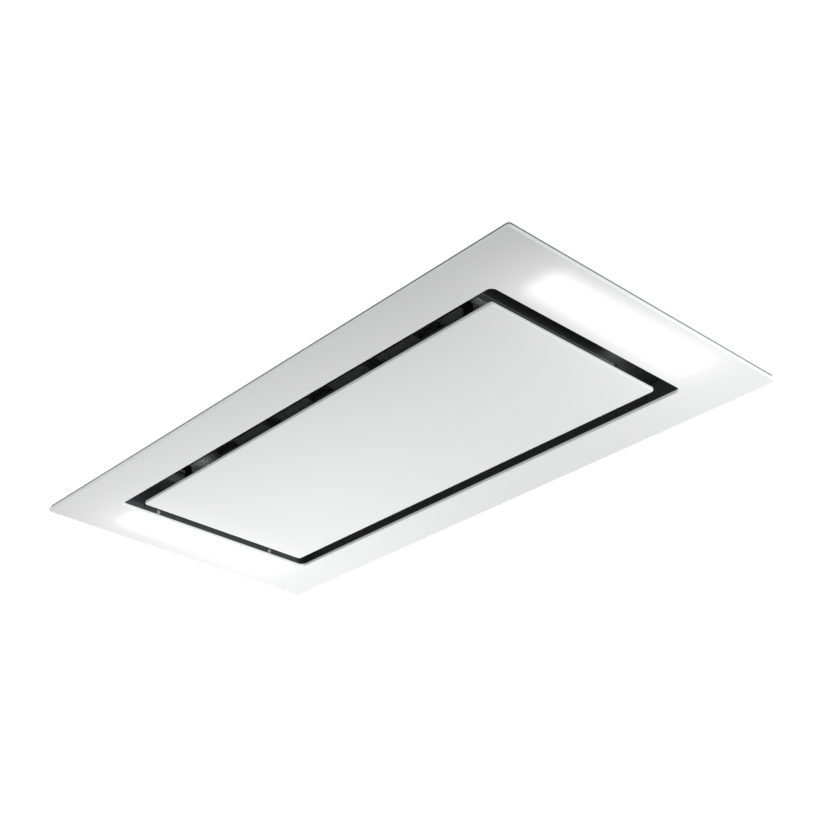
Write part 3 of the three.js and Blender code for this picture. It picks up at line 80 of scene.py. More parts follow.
# ---- places read from the frame ----
def span(node):
    """Lowest corner, highest corner, middle and half the size of a CAD node, in millimetres."""
    low, high = (np.array(corner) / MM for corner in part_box(node))
    return low, high, (low + high) / 2, (high - low) / 2


# ---- surfaces: each is its points and its groups of faces, and is made round or along +Z ----
def outward(points, faces):
    """Turns every face round if the surface's volume, the sum of its corner tetrahedra, is negative."""
    volume = 0.0
    for group in faces:
        corners = points[group]
        for k in range(1, group.shape[1] - 1):
            volume += np.einsum("ij,ij->", corners[:, 0], np.cross(corners[:, k], corners[:, k + 1]))
    return (points, [group[:, ::-1] for group in faces]) if volume < 0 else (points, faces)


def skin(rows, wrap=False):
    """Joins rows of points of shape (rows, columns, 3) by quads, with the columns closed on themselves.
    Rows close on themselves when wrap is true, and otherwise each end row is closed by one face."""
    rows = np.asarray(rows, float)
    count, columns = rows.shape[:2]
    i, j = np.meshgrid(np.arange(count if wrap else count - 1), np.arange(columns), indexing="ij")
    row, next_row, next_column = i * columns, (i + 1) % count * columns, (j + 1) % columns
    quads = np.stack([row + j, row + next_column, next_row + next_column, next_row + j], -1)
    faces = [quads.reshape(-1, 4)]
    if not wrap:
        faces += [np.arange(columns)[None, ::-1], (count - 1) * columns + np.arange(columns)[None]]
    return outward(rows.reshape(-1, 3), faces)


def joined(parts):
    """Several surfaces as one, with their point numbers carried on."""
    points, faces, start = [], [], 0
    for part_points, part_faces in parts:
        points.append(part_points)
        faces += [group + start for group in part_faces]
        start += len(part_points)
    return np.concatenate(points), faces


def shifted(part, offset):
    return part[0] + np.asarray(offset, float), part[1]


def moved(parts, offset):
    return [shifted(part, offset) for part in parts]


def turned(part, angle):
    """Rotates a surface about the Z axis: x and y are mixed by the cosine and the sine of the angle."""
    x, y, z = part[0].T
    c, s = math.cos(angle), math.sin(angle)
    return np.stack([c * x - s * y, s * x + c * y, z], -1), part[1]


def copies(part, angles, centre=(0, 0)):
    """A copy of a surface at each angle round a vertical line."""
    return [shifted(turned(part, angle), (*centre, 0)) for angle in angles]


def laid(part, axis):
    """Lays a surface made along +Z over, so that its +Z becomes the named axis; each case is a rotation."""
    x, y, z = part[0].T
    lying = {
        "+x": (z, x, y),
        "-x": (-z, -x, y),
        "+y": (y, z, x),
        "-y": (-y, -z, x),
        "-z": (x, -y, -z),
        "+z": (x, y, z),
    }[axis]
    return np.stack(lying, -1), part[1]


def stood(part):
    """Stands a flat surface up: its +Y becomes +Z, and its +Z becomes -Y."""
    x, y, z = part[0].T
    return np.stack([x, -z, y], -1), part[1]


def turns(count):
    """Angles that share a full turn evenly."""
    return np.arange(count) * 2 * math.pi / count


def on_circle(radius, angles, centre=(0, 0)):
    return np.stack([centre[0] + radius * np.cos(angles), centre[1] + radius * np.sin(angles)], -1)


def round_rows(radius, height, angles):
    """Rows of points at every angle, from a radius and a height that are given for each row or each point."""
    return np.stack(np.broadcast_arrays(radius * np.cos(angles), radius * np.sin(angles), height), -1)


def outline(half, corner, inset=0.0, steps=6):
    """Rectangle with round corners, counter-clockwise: four quarter circles round points in from its corners.
    An inset draws the sides in, and the corners with them until they are nearly sharp."""
    half = np.asarray(half, float) - inset
    radius = max(corner - inset, 0.05)
    angles = (np.arange(4)[:, None] + np.linspace(0, 1, steps + 1)) * math.pi / 2
    centres = np.array([[1, 1], [-1, 1], [-1, -1], [1, -1]]) * (half - radius)
    return (centres[:, None] + on_circle(radius, angles)).reshape(-1, 2)


def at_height(points, z):
    return np.column_stack([points, np.full(len(points), float(z))])


def fillet_rows(z0, z1, fillet):
    """Pairs of inset and height up a side whose edges are quarter circles, and one more pair on each face."""
    angles = np.linspace(0, math.pi / 2, 4)
    insets, lifts = fillet * (1 - np.sin(angles)), fillet * (1 - np.cos(angles))
    low = np.stack([insets, z0 + lifts], -1)
    high = np.stack([insets[::-1], z1 - lifts[::-1]], -1)
    support = fillet + 0.4
    return np.concatenate([[[support, z0]], low, high, [[support, z1]]])


def slab(half, corner, z0, z1, fillet=0.4, steps=6, centre=(0, 0)):
    """A block with an upright outline of round corners and with rounded lower and upper edges."""
    rows = [at_height(outline(half, corner, inset, steps), z) for inset, z in fillet_rows(z0, z1, fillet)]
    return shifted(skin(rows), (*centre, 0))


def ring_slab(outer, outer_corner, inner, inner_corner, z0, z1, fillet, steps):
    """A slab with a like hole: up the outside, inwards over the top and down the inside, closed on itself."""
    pairs = fillet_rows(z0, z1, fillet)
    rows = [at_height(outline(outer, outer_corner, inset, steps), z) for inset, z in pairs]
    for inset, z in pairs[::-1]:
        rows.append(at_height(outline(np.asarray(inner) + inset, inner_corner + inset, 0, steps), z))
    return skin(rows, wrap=True)


def bar(profile, x0, x1):
    """A closed profile in Y and Z carried along X."""
    return skin([np.column_stack([np.full(len(profile), x), profile]) for x in (x0, x1)])


def lathe(profile, sides=64, wrap=False):
    """Carries pairs of radius and height round +Z. Ends off the axis are closed by a flat face."""
    profile = np.asarray(profile, float)
    return skin(round_rows(profile[:, :1], profile[:, 1:], turns(sides)), wrap)


def roller(inner, outer, z0, z1, cut, rise, sides, wrap=True):
    """A ring whose two outer edges are chamfered: the cut goes inwards and the rise along it."""
    lower = [(inner, z0), (outer - cut, z0), (outer, z0 + rise)]
    return lathe([*lower, (outer, z1 - rise), (outer - cut, z1), (inner, z1)], sides, wrap)


def rounded(points, radius, closed=False):
    """A polyline whose corners are arcs: each corner point gives way to a tangent arc of the radius."""
    points = np.asarray(points, float)
    radii = np.broadcast_to(radius, len(points))
    made = [] if closed else [points[:1]]
    for k in range(0 if closed else 1, len(points) if closed else len(points) - 1):
        here, before, after = points[k], points[k - 1], points[(k + 1) % len(points)]
        a = (before - here) / np.linalg.norm(before - here)
        b = (after - here) / np.linalg.norm(after - here)
        half = math.acos(np.clip(a @ b, -1, 1)) / 2
        if radii[k] <= 0 or half > math.pi / 2 - 1e-3:
            made.append(here[None])
            continue
        centre = here + (a + b) / np.linalg.norm(a + b) * radii[k] / math.sin(half)
        reach = radii[k] / math.tan(half)
        start, end = here + a * reach - centre, here + b * reach - centre
        sweep = math.pi - 2 * half
        share = np.linspace(0, 1, 6)[:, None]
        weights = np.sin((1 - share) * sweep), np.sin(share * sweep)
        made.append(centre + (weights[0] * start + weights[1] * end) / math.sin(sweep))
    if not closed:
        made.append(points[-1:])
    return np.concatenate(made)


def strip(path, width, thickness, edge=0.3, scale=1.0):
    """Sheet carried along a plane path: a flat rectangle with rounded edges, its width across the plane.
    The section stands square to the chord between each point's neighbours, and its width may be scaled there.
    The points come out as (across, along u, along v), with the path in u and v."""
    chord = np.gradient(path, axis=0)
    chord /= np.linalg.norm(chord, axis=1, keepdims=True)
    normals = np.stack([-chord[:, 1], chord[:, 0]], -1)
    section = outline((width / 2, thickness / 2), min(edge, thickness / 2.01), 0, 2)
    across = section[None, :, 0] * np.broadcast_to(scale, len(path))[:, None]
    plane = path[:, None, :] + section[None, :, 1, None] * normals[:, None, :]
    return skin(np.concatenate([across[..., None], plane], -1))


def extruded(polygon, z0, z1, holes=()):
    """A flat outline with holes raised from z0 to z1, its faces cut into triangles where there are holes."""
    loops = [np.asarray(loop, float) for loop in (polygon, *holes)]
    count = sum(len(loop) for loop in loops)
    points = np.concatenate([at_height(loop, z) for z in (z0, z1) for loop in loops])
    faces, start = [], 0
    for loop in loops:
        i = start + np.arange(len(loop))
        j = start + np.roll(np.arange(len(loop)), -1)
        signed = np.sum(loop[:, 0] * np.roll(loop[:, 1], -1) - np.roll(loop[:, 0], -1) * loop[:, 1])
        wall = np.stack([i, j, j + count, i + count], -1)
        faces.append(wall if (signed > 0) == (start == 0) else wall[:, ::-1])
        start += len(loop)
    if holes:
        cap = np.array(tessellate_polygon([[Vector((x, y, 0)) for x, y in loop] for loop in loops]))
        a, b, c = (points[cap[:, k], :2] for k in range(3))
        turn = (b[:, 0] - a[:, 0]) * (c[:, 1] - a[:, 1]) - (b[:, 1] - a[:, 1]) * (c[:, 0] - a[:, 0])
        cap = np.where((turn > 0)[:, None], cap, cap[:, ::-1])
    else:
        cap = np.arange(count)[None]
        cap = cap if faces[0][0, 0] == 0 else cap[:, ::-1]
    return points, [*faces, cap[:, ::-1], cap + count]


def thread(radius, pitch, depth, z0, z1):
    """A screw's thread: the radius falls and rises once in each pitch, and a turn shifts that by a pitch."""
    angles = turns(16)
    z = np.linspace(z0, z1, max(int((z1 - z0) / pitch * 4), 4))[:, None]
    phase = (z / pitch - angles / (2 * math.pi)) % 1
    return skin(round_rows(radius - depth * np.abs(2 * phase - 1), z, angles))


def screw(size, axis, place):
    """A pan-head screw laid along an axis from its face, by its radius, head height, shank radius and length.
    The face is a dome less a cross, whose depth fades along its arms and across them."""
    radius, height, shank, length = size
    angles = turns(48)
    share = np.linspace(0.05, 1, 14)[:, None]
    r = share * radius * 0.93
    x, y = np.abs(r * np.cos(angles)), np.abs(r * np.sin(angles))
    along, across = np.minimum(np.maximum(x, y) / (0.56 * radius), 1.0), np.minimum(x, y) / (0.16 * radius)
    depth = 0.55 * height * np.clip(1.6 - 1.6 * along, 0, 1) * np.clip(2.2 - 2 * across, 0, 1)
    face = round_rows(r, height * 0.30 * share**2 + depth, angles)
    widths = np.array([radius, radius, shank, shank])[:, None]
    heights = np.array([height * 0.55, height * 0.98, height, height + length])[:, None]
    whole = skin(np.concatenate([face, round_rows(widths, heights, angles)]))
    return shifted(laid(whole, axis), place)


def add_bevel(piece, width):
    edge = piece.modifiers.new("edges", "BEVEL")
    edge.width = width * MM
    edge.segments = 2
    edge.limit_method = "ANGLE"
    edge.angle_limit = math.radians(40)
    edge.harden_normals = True


def put(name, slot, coat, *parts, body="chassis", replaces="", bevel=0.0):
    """Makes one piece of several surfaces, in metres, and sets it on its body. A bevel is its width."""
    points, faces = joined(parts)
    mesh = bpy.data.meshes.new(name)
    mesh.from_pydata((points * MM).tolist(), [], [face for group in faces for face in group.tolist()])
    mesh.update()
    piece = bpy.data.objects.new(name, mesh)
    bpy.context.scene.collection.objects.link(piece)
    mesh.materials.append(finish(coat))
    mesh.shade_smooth()
    mesh.set_sharp_from_angle(angle=math.radians(32))
    if bevel:
        add_bevel(piece, bevel)
    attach(piece, body)
    if replaces:
        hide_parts(replaces)
    return piece


def put_screws(name, size, axis, places, body="chassis"):
    put(name, "bright_steel", "screw_steel", *[screw(size, axis, place) for place in places], body=body)


def dress(node, coat, bevel=0.0):
    """Gives a CAD node its finish, and takes the sharpness off its edges."""
    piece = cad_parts[node]
    if piece.material_slots:
        piece.material_slots[0].material = finish(coat)
    else:
        piece.data.materials.append(finish(coat))
    if bevel:
        weld = piece.modifiers.new("weld", "WELD")
        weld.merge_threshold = 0.02 * MM
        add_bevel(piece, bevel)


# ---- shader maths ----
def by_math_node(operation, tap_last=False):
    """A method for one of Python's operators that adds a Math node, with the tap first or last."""

    def method(self, other):
        return self.maths(operation, *((other, self) if tap_last else (self, other)))

    return method


class Tap:
    """An output of a shader node. Python's operators on it add Math nodes to the same tree."""

    def __init__(self, finish, socket):
        self.finish = finish
        self.socket = socket

    def maths(self, operation, *values):
        return self.finish.node("Math", {"operation": operation}, values)

    __add__ = __radd__ = by_math_node("ADD")
    __mul__ = __rmul__ = by_math_node("MULTIPLY")
    __sub__ = by_math_node("SUBTRACT")
    __rsub__ = by_math_node("SUBTRACT", True)
    __truediv__ = by_math_node("DIVIDE")
    __rtruediv__ = by_math_node("DIVIDE", True)
    __pow__ = by_math_node("POWER")

    def size(self):
        return self.maths("ABSOLUTE", self)

    def over(self, floor=0.0):
        return self.maths("MAXIMUM", self, floor)

    def under(self, ceiling=1.0):
        return self.maths("MINIMUM", self, ceiling)

    def wave(self):
        return self.maths("SINE", self)

    def fade(self, start, end):
        """0 at start and 1 at end, with a smooth rise between them."""
        settings = {"interpolation_type": "SMOOTHSTEP"}
        return self.finish.node("MapRange", settings, {"Value": self, "From Min": start, "From Max": end})


class Finish:
    """A material with one Principled shader, and the nodes that feed it."""

    def __init__(self, name, colour, roughness=0.5, metallic=0.0, **fixed):
        self.material = bpy.data.materials.new(name)
        self.material.use_nodes = True
        self.tree = self.material.node_tree
        self.shader = self.tree.nodes["Principled BSDF"]
        self.set(Base_Color=(*colour, 1), Roughness=roughness, Metallic=metallic, **fixed)

    def node(self, kind, settings=(), values=(), output=0):
        """Adds a node: its settings first, then the value or link of each socket, by order or by name."""
        made = self.tree.nodes.new("ShaderNode" + kind)
        for setting, value in dict(settings).items():
            setattr(made, setting, value)
        pairs = values.items() if isinstance(values, dict) else enumerate(values)
        for socket, value in pairs:
            self.feed(made.inputs[socket], value)
        return Tap(self, made.outputs[output])

    def feed(self, socket, value):
        if isinstance(value, Tap):
            self.tree.links.new(value.socket, socket)
        else:
            socket.default_value = value

    def set(self, **values):
        for socket, value in values.items():
            self.feed(self.shader.inputs[socket.replace("_", " ")], value)
        return self

    def place(self, stretch=(1, 1, 1)):
        """Object coordinates in millimetres, stretched along each axis."""
        at = self.node("TexCoord", output="Object")
        scale = tuple(value / MM for value in stretch)
        return self.node("Mapping", {"vector_type": "POINT"}, {"Vector": at, "Scale": scale})

    def along(self):
        """Object coordinates in millimetres as three separate numbers."""
        outputs = self.node("SeparateXYZ", values=[self.place()]).socket.node.outputs
        return [Tap(self, outputs[k]) for k in range(3)]

    def noise(self, grain, detail=2.0, stretch=(1, 1, 1)):
        """Cloudy noise between 0 and 1 whose features are about a grain in millimetres across."""
        values = {"Vector": self.place(stretch), "Scale": 1 / grain, "Detail": detail}
        return self.node("TexNoise", values=values)

    def cells(self, grain, output="Color"):
        return self.node("TexVoronoi", values={"Vector": self.place(), "Scale": 1 / grain}, output=output)

    def grey_of(self, colour):
        return self.node("SeparateColor", values=[colour])

    def mix(self, share, first, second):
        """One colour at share 0 and the other at share 1."""
        return self.node("Mix", {"data_type": "RGBA"}, {0: share, 6: rgba(first), 7: rgba(second)}, 2)

    def bump(self, height, depth):
        """Lifts the surface by a height between 0 and 1 times a depth in millimetres."""
        values = {"Height": height, "Distance": depth * MM}
        return self.set(Normal=self.node("Bump", values=values, output="Normal"))


def rgba(colour):
    return colour if isinstance(colour, Tap) else (*colour[:3], 1)


def shade(colour, factor):
    return tuple(min(value * factor, 1.0) for value in colour[:3])


# ---- finishes ----
def white_glass(name):
    """Clear glass over white paint, with the light of the lamps behind both ends.
    The light is full inside each window's rounded rectangle, falls off over a soft edge and a wide halo,
    and is weaker towards +Y, where the room's own light is stronger."""
    look = bpy.context.scene.hood_glass
    glass = Finish(name, look.colour, 0.05, Specular_IOR_Level=0.5, IOR=1.52, Emission_Strength=1.0)
    glass.set(Roughness=0.045 + 0.03 * glass.noise(70, 3))
    glass.set(Base_Color=glass.mix(glass.noise(420, 1), shade(look.colour, 0.985), look.colour))
    x, y, z = glass.along()
    _, _, (lamp_x, _, _), (half_x, half_y, _) = (corner.tolist() for corner in span("led_diffuser_right"))
    from_right = (x - lamp_x).size()
    from_left = (x + lamp_x - look.left_shift).size()
    past_x = (from_right.under(from_left) - (half_x - look.soft_edge)).over()
    past_y = (y.size() - (half_y - look.soft_edge)).over()
    away = (past_x * past_x + past_y * past_y) ** 0.5
    window = 1 - away.fade(0.0, 2 * look.soft_edge)
    halo = 1 / (1 + (away / look.halo) ** 2)
    below = 1 - z.fade(2.0, 5.0)
    drop = 1 - y.fade(-half_y, half_y) * look.drop
    light = (window * look.glow * drop + halo * look.halo_glow) * below
    return glass.set(Emission_Color=glass.mix(light.under(), (0, 0, 0), look.light_colour))


def glass_edge(name):
    """The polished edge of the glass, a little green and darker towards the painted back.
    Its emission is painted light: it stands in for light that enters the glass through its face and leaves
    through the edge, the most beside the lamps."""
    look = bpy.context.scene.hood_glass
    edge = Finish(name, (0.80, 0.82, 0.81), 0.16, Specular_IOR_Level=0.5, IOR=1.52)
    # painted light: a fixed glow on the edges, brighter at the front and beside the lamps
    edge.set(Emission_Strength=look.edge_glow * look.lamp_edge)
    x, y, z = edge.along()
    in_opening = 1 - (y.size() - OPENING[1]).fade(1.0, 3.0)
    beside_lamp = (1 - (x.size() - OPENING[0]).size().fade(4.0, 12.0)) * in_opening
    depth = (z / GLASS_THICKNESS).under()
    edge.set(Base_Color=edge.mix(depth, (0.62, 0.64, 0.63), (0.50, 0.54, 0.53)))
    front, back, weaker = (1.0, 1.0, 1.0), (0.80, 0.84, 0.83), 1 / look.lamp_edge
    lit = edge.mix(depth, front, back)
    plain = edge.mix(depth, shade(front, weaker), shade(back, weaker))
    edge.set(Emission_Color=edge.mix(beside_lamp, plain, lit))
    return edge.set(Roughness=0.14 + 0.12 * edge.noise(0.5, 3, (1, 1, 0.2)))


def painted(name, colour, grain, depth, roughness):
    """Baked paint: fine orange peel, a little uneven gloss, and dust in the hollows."""
    paint = Finish(name, colour, roughness, Specular_IOR_Level=0.3)
    dust = paint.noise(grain * 30, 4)
    paint.set(Base_Color=paint.mix(dust.fade(0.45, 0.85), colour, shade(colour, 1.15)))
    return paint.set(Roughness=roughness - 0.06 + 0.14 * dust).bump(paint.noise(grain, 3), depth)


def white_zinc(name):
    """Passivated zinc: a pale and slightly patchy coat that scatters more than it mirrors."""
    coat = Finish(name, (0.86, 0.87, 0.88), 0.5, 0.3)
    patches = coat.noise(1.2, 3)
    coat.set(Base_Color=coat.mix(patches, (0.78, 0.79, 0.80), (0.92, 0.925, 0.93)))
    return coat.set(Roughness=0.42 + 0.16 * patches)


def foam(name):
    """Closed-cell foam: shallow round hollows, a little paler in their middles."""
    block = Finish(name, (0.022, 0.022, 0.023), 0.92, Specular_IOR_Level=0.2)
    cells = block.cells(0.7, "Distance")
    block.set(Base_Color=block.mix(cells, (0.035, 0.035, 0.036), (0.012, 0.012, 0.012)))
    return block.bump(cells, 0.12)


def galvanised(name, colour):
    """Zinc-coated sheet: each spangle has its own grey and gloss, with faint rolling lines along the hood."""
    sheet = Finish(name, colour, 0.42, 1.0)
    spangle = sheet.grey_of(sheet.cells(9.0))
    small = sheet.grey_of(sheet.cells(3.4))
    tone = spangle * 0.55 + small * 0.25 + sheet.noise(0.8, 2, (0.02, 1, 1)) * 0.2
    sheet.set(Base_Color=sheet.mix(tone, shade(colour, 0.72), shade(colour, 1.16)))
    return sheet.set(Roughness=0.30 + 0.22 * tone).bump(tone, 0.015)


def machined(name, colour, roughness, stretch, tint):
    """Bare metal with fine lines along one way and clouds of slightly duller metal."""
    metal = Finish(name, colour, roughness, 1.0)
    lines = metal.noise(0.35, 3, stretch)
    dull = metal.noise(25, 3)
    metal.set(Base_Color=metal.mix(lines * 0.5 + dull * 0.5, shade(colour, tint), colour))
    return metal.set(Roughness=roughness - 0.05 + 0.10 * lines + 0.10 * dull).bump(lines, 0.006)


def anodised(name, colour, mirror):
    """Etched and anodised aluminium, which scatters more light than it mirrors."""
    metal = Finish(name, colour, 0.5, mirror)
    dull = metal.noise(6, 3)
    metal.set(Base_Color=metal.mix(dull, shade(colour, 0.82), colour))
    return metal.set(Roughness=0.42 + 0.2 * dull)


def ferrite(name):
    """Pressed ferrite in dull nickel, dark grey where the grain is low."""
    block = Finish(name, (0.10, 0.10, 0.105), 0.8, Specular_IOR_Level=0.2)
    grain = block.noise(0.6, 4)
    block.set(Base_Color=block.mix(grain.fade(0.35, 0.7), (0.05, 0.05, 0.052), (0.16, 0.16, 0.165)))
    return block.bump(grain, 0.03)


def moulded(name, colour, roughness, grain=0.45):
    """Injection-moulded plastic: a fine spark-eroded grain and a slow change of gloss."""
    plastic = Finish(name, colour, roughness, Specular_IOR_Level=0.45)
    spark = plastic.noise(grain, 4)
    flow = plastic.noise(45, 2)
    plastic.set(Base_Color=plastic.mix(spark * 0.6 + flow * 0.4, shade(colour, 0.85), shade(colour, 1.12)))
    return plastic.set(Roughness=roughness - 0.07 + 0.14 * flow).bump(spark, 0.02)


def opal(name):
    """The diffuser, lit from behind: brightest under the row of lamps along its middle."""
    cover = Finish(name, (0.92, 0.92, 0.90), 0.35, Emission_Strength=1.0)
    x, _, _ = cover.along()
    centre = float(span("led_diffuser_right")[2][0])
    near = 1 - (x.size() - centre).size().fade(0.0, 40.0) * 0.35
    light = near - cover.noise(12, 2) * 0.06
    return cover.set(Emission_Color=cover.mix(light, (0, 0, 0), bpy.context.scene.hood_glass.light_colour))


def circuit_board(name):
    """White solder mask with a faint weave of the glass cloth below it."""
    board = Finish(name, (0.80, 0.81, 0.79), 0.35, Specular_IOR_Level=0.5)
    x, y, _ = board.along()
    weave = (x * 6.0).wave() * (y * 6.0).wave() * 0.5 + 0.5
    board.set(Base_Color=board.mix(weave, (0.74, 0.76, 0.73), (0.84, 0.85, 0.83)))
    return board.bump(weave, 0.01)


def lamp_chip(name):
    """The yellow phosphor of a lamp chip, with light coming from it."""
    chip = Finish(name, (0.86, 0.72, 0.28), 0.3, Emission_Strength=1.5)
    return chip.set(Emission_Color=chip.mix(chip.noise(0.4, 3), (0.8, 0.72, 0.5), (1.0, 0.96, 0.86)))


MADE = {}


def finish(name):
    """The material of a finish, made on its first use: the table gives its maker and the maker's numbers."""
    look = bpy.context.scene.hood_finish
    table = {
        "white_glass": (white_glass,),
        "glass_edge": (glass_edge,),
        "tray_paint": (painted, look.tray, 0.9, 0.02, 0.42),
        "black_paint": (painted, look.recess, 0.8, 0.015, 0.6),
        # painted shade: the deck gets the recess paint at half its brightness, so it stays dark where light
        # through the gap falls on it
        "deck_paint": (painted, shade(look.recess, 0.5), 0.8, 0.015, 0.6),
        # painted shade: a near-black paint keeps the catch brackets dark where light through the gap falls on
        # their bends
        "catch_paint": (painted, (0.012, 0.012, 0.013), 0.8, 0.015, 0.85),
        "white_zinc": (white_zinc,),
        "foam": (foam,),
        "galvanised": (galvanised, look.zinc),
        "anodised_mesh": (anodised, look.aluminium, look.mesh_mirror),
        "anodised_frame": (anodised, look.filter_frame, 0.6),
        "zinc_plate": (machined, (0.74, 0.75, 0.76), 0.24, (0.1, 1, 1), 0.8),
        "screw_steel": (machined, (0.82, 0.82, 0.82), 0.18, (1, 1, 0.1), 0.85),
        "motor_steel": (machined, (0.50, 0.51, 0.53), 0.4, (1, 1, 0.08), 0.75),
        "brass": (machined, (0.72, 0.56, 0.28), 0.3, (1, 1, 0.2), 0.8),
        "ferrite": (ferrite,),
        "black_plastic": (moulded, (0.045, 0.045, 0.048), 0.5),
        "grey_plastic": (moulded, (0.13, 0.135, 0.14), 0.52),
        "white_plastic": (moulded, (0.78, 0.78, 0.77), 0.42),
        "can_sleeve": (moulded, (0.62, 0.63, 0.64), 0.3, 1.5),
        "opal": (opal,),
        "circuit_board": (circuit_board,),
        "lamp_chip": (lamp_chip,),
    }
    if name not in MADE:
        maker, *numbers = table[name]
        MADE[name] = maker(name, *numbers).material
    return MADE[name]


# ---- settings ----
def length(name, default, description, low=0.0, high=1000.0):
    description += ", in millimetres"
    return bpy.props.FloatProperty(name=name, description=description, default=default, min=low, max=high)


def factor(name, default, description, high=1.0):
    kind = {"min": 0.0, "max": high, "subtype": "FACTOR"}
    return bpy.props.FloatProperty(name=name, description=description, default=default, **kind)


def colour(name, default, description):
    kind = {"size": 3, "min": 0.0, "max": 1.0, "subtype": "COLOR"}
    return bpy.props.FloatVectorProperty(name=name, description=description, default=default, **kind)


def power(name, default, description):
    return bpy.props.FloatProperty(name=name, description=description, default=default, min=0.0, unit="POWER")


class HoodGlass(bpy.types.PropertyGroup):
    """Sizes and colours of the glass and of the light behind it."""

    arris: length("Edge", 1.1, "Radius of the rounded edges of the glass", 0.1, 2.5)
    colour: colour("Paint", (0.88, 0.885, 0.885), "Colour of the paint behind the glass")
    light_colour: colour("Light", (1.0, 0.995, 0.98), "Colour of the light at both ends")
    left_shift: length("Left shift", 20.0, "How far the left light shows nearer the opening", 0.0, 60.0)
    soft_edge: length("Soft edge", 22.0, "Blur of the lit windows' edges, from the glass", 0.5, 40.0)
    glow: factor("Glow", 0.26, "Strength of the lit windows", 4.0)
    drop: factor("Drop", 0.6, "Share of the windows' light that is lost at their +Y end")
    halo: length("Halo", 44.0, "Distance at which the halo is half as strong", 1.0, 200.0)
    halo_glow: factor("Halo glow", 0.22, "Strength of the halo", 2.0)
    edge_glow: factor("Edge glow", 0.27, "Strength of the light that leaves the glass through its edges", 2.0)
    lamp_edge: factor("Lamp edge", 2.4, "How many times stronger it is at the opening's short edges", 5.0)


class HoodFilters(bpy.types.PropertyGroup):
    """Sizes of the perforated filter sheets."""

    pitch: length("Pitch", 4.8, "Distance between the holes", 3.0, 20.0)
    open_share: factor("Open", 0.56, "Width of a hole as a share of the pitch")
    backing_gap: length("Backing gap", 2.4, "Height of the second sheet above the first", 0.5, 5.0)


class HoodFinish(bpy.types.PropertyGroup):
    """Colours of the metal parts."""

    tray: colour("Tray", (0.15, 0.152, 0.157), "Powder coat of the frame's tray")
    recess: colour("Recess", (0.17, 0.173, 0.18), "Paint inside the suction gap")
    zinc: colour("Zinc", (0.60, 0.62, 0.64), "Galvanised sheet of the body")
    aluminium: colour("Aluminium", (0.78, 0.79, 0.80), "Anodised aluminium of the filter sheets")
    filter_frame: colour("Filter frame", (0.36, 0.365, 0.37), "Darker anodised frames of the filters")
    mesh_mirror: factor("Mesh mirror", 0.2, "How far the filter sheets mirror instead of scattering")


class HoodStage(bpy.types.PropertyGroup):
    """Room, lamps and camera."""

    world: factor("Room", 0.46, "Light of the room on dull surfaces", 4.0)
    key: power("Key", 222.0, "Lamp below the left end")
    side: power("Side", 200.0, "Lamp below the right end")
    top: power("Top", 100.0, "Lamp above the body")
    stray: power("Stray light", 0.016, "Small lamps in the recess beside the left catch and the right hinge")
    floor: length("Floor", 3400.0, "Distance of the floor below the hood", 500.0, 9000.0)
    ceiling: length("Ceiling", 190.0, "Reach of the ceiling past the glass on the near sides", 0.0, 2000.0)
    lens: bpy.props.FloatProperty(
        name="Lens", description="Focal length", default=63.70, min=1.0, unit="CAMERA"
    )


# ---- stage ----
CAMERA_PLACE = (1.68344, -1.42835, -1.16475)
CAMERA_AXES = ((0.67016, 0.74214, 0.01033), (0.35783, -0.33526, 0.87153), (0.65026, -0.58037, -0.49024))
SENSOR = 36.0


def white_to_the_eye(tree, shown, given):
    """Camera, mirror and glass rays see one shader; dull surfaces are lit by the other."""
    path = tree.nodes.new("ShaderNodeLightPath")
    seen = path.outputs["Is Camera Ray"]
    for ray in ("Is Glossy Ray", "Is Transmission Ray"):
        either = tree.nodes.new("ShaderNodeMath")
        either.operation = "MAXIMUM"
        tree.links.new(seen, either.inputs[0])
        tree.links.new(path.outputs[ray], either.inputs[1])
        seen = either.outputs[0]
    mixed = tree.nodes.new("ShaderNodeMixShader")
    for number, output in enumerate((seen, given, shown)):
        tree.links.new(output, mixed.inputs[number])
    return mixed.outputs[0]


def soft_lamp(name, place, target, cone, power, size=0.25):
    """A round soft lamp that lights a cone of the given half angle, with no edge to its light."""
    light = bpy.data.lights.new(name, "SPOT")
    light.spot_size, light.spot_blend = 2 * cone, 1.0
    light.shadow_soft_size = size
    light.energy = power
    lamp = bpy.data.objects.new(name, light)
    bpy.context.scene.collection.objects.link(lamp)
    lamp.location = place
    lamp.rotation_euler = (Vector(target) - Vector(place)).to_track_quat("-Z", "Y").to_euler()
    lamp.visible_camera = False
    lamp.visible_glossy = False


def backdrop(name, corners):
    """A board of pale paint that takes shadows, and is the plain white of the room to the eye."""
    paint = Finish(f"{name}_paint", (0.86, 0.86, 0.86), 0.9, Specular_IOR_Level=0.1)
    shown = paint.tree.nodes.new("ShaderNodeEmission")
    mixed = white_to_the_eye(paint.tree, shown.outputs[0], paint.shader.outputs[0])
    paint.tree.links.new(mixed, paint.tree.nodes["Material Output"].inputs["Surface"])
    mesh = bpy.data.meshes.new(name)
    mesh.from_pydata(corners, [], [tuple(range(len(corners)))])
    board = bpy.data.objects.new(name, mesh)
    bpy.context.scene.collection.objects.link(board)
    mesh.materials.append(paint.material)


def room(look):
    """The world is white to the eye, and lights dull surfaces by a set strength."""
    world = bpy.data.worlds.new("room")
    world.use_nodes = True
    bpy.context.scene.world = world
    tree = world.node_tree
    given, shown = tree.nodes["Background"], tree.nodes.new("ShaderNodeBackground")
    given.inputs["Strength"].default_value = look.world
    for background in (given, shown):
        background.inputs["Color"].default_value = (1, 1, 1, 1)
    mixed = white_to_the_eye(tree, shown.outputs[0], given.outputs[0])
    tree.links.new(mixed, tree.nodes["World Output"].inputs["Surface"])


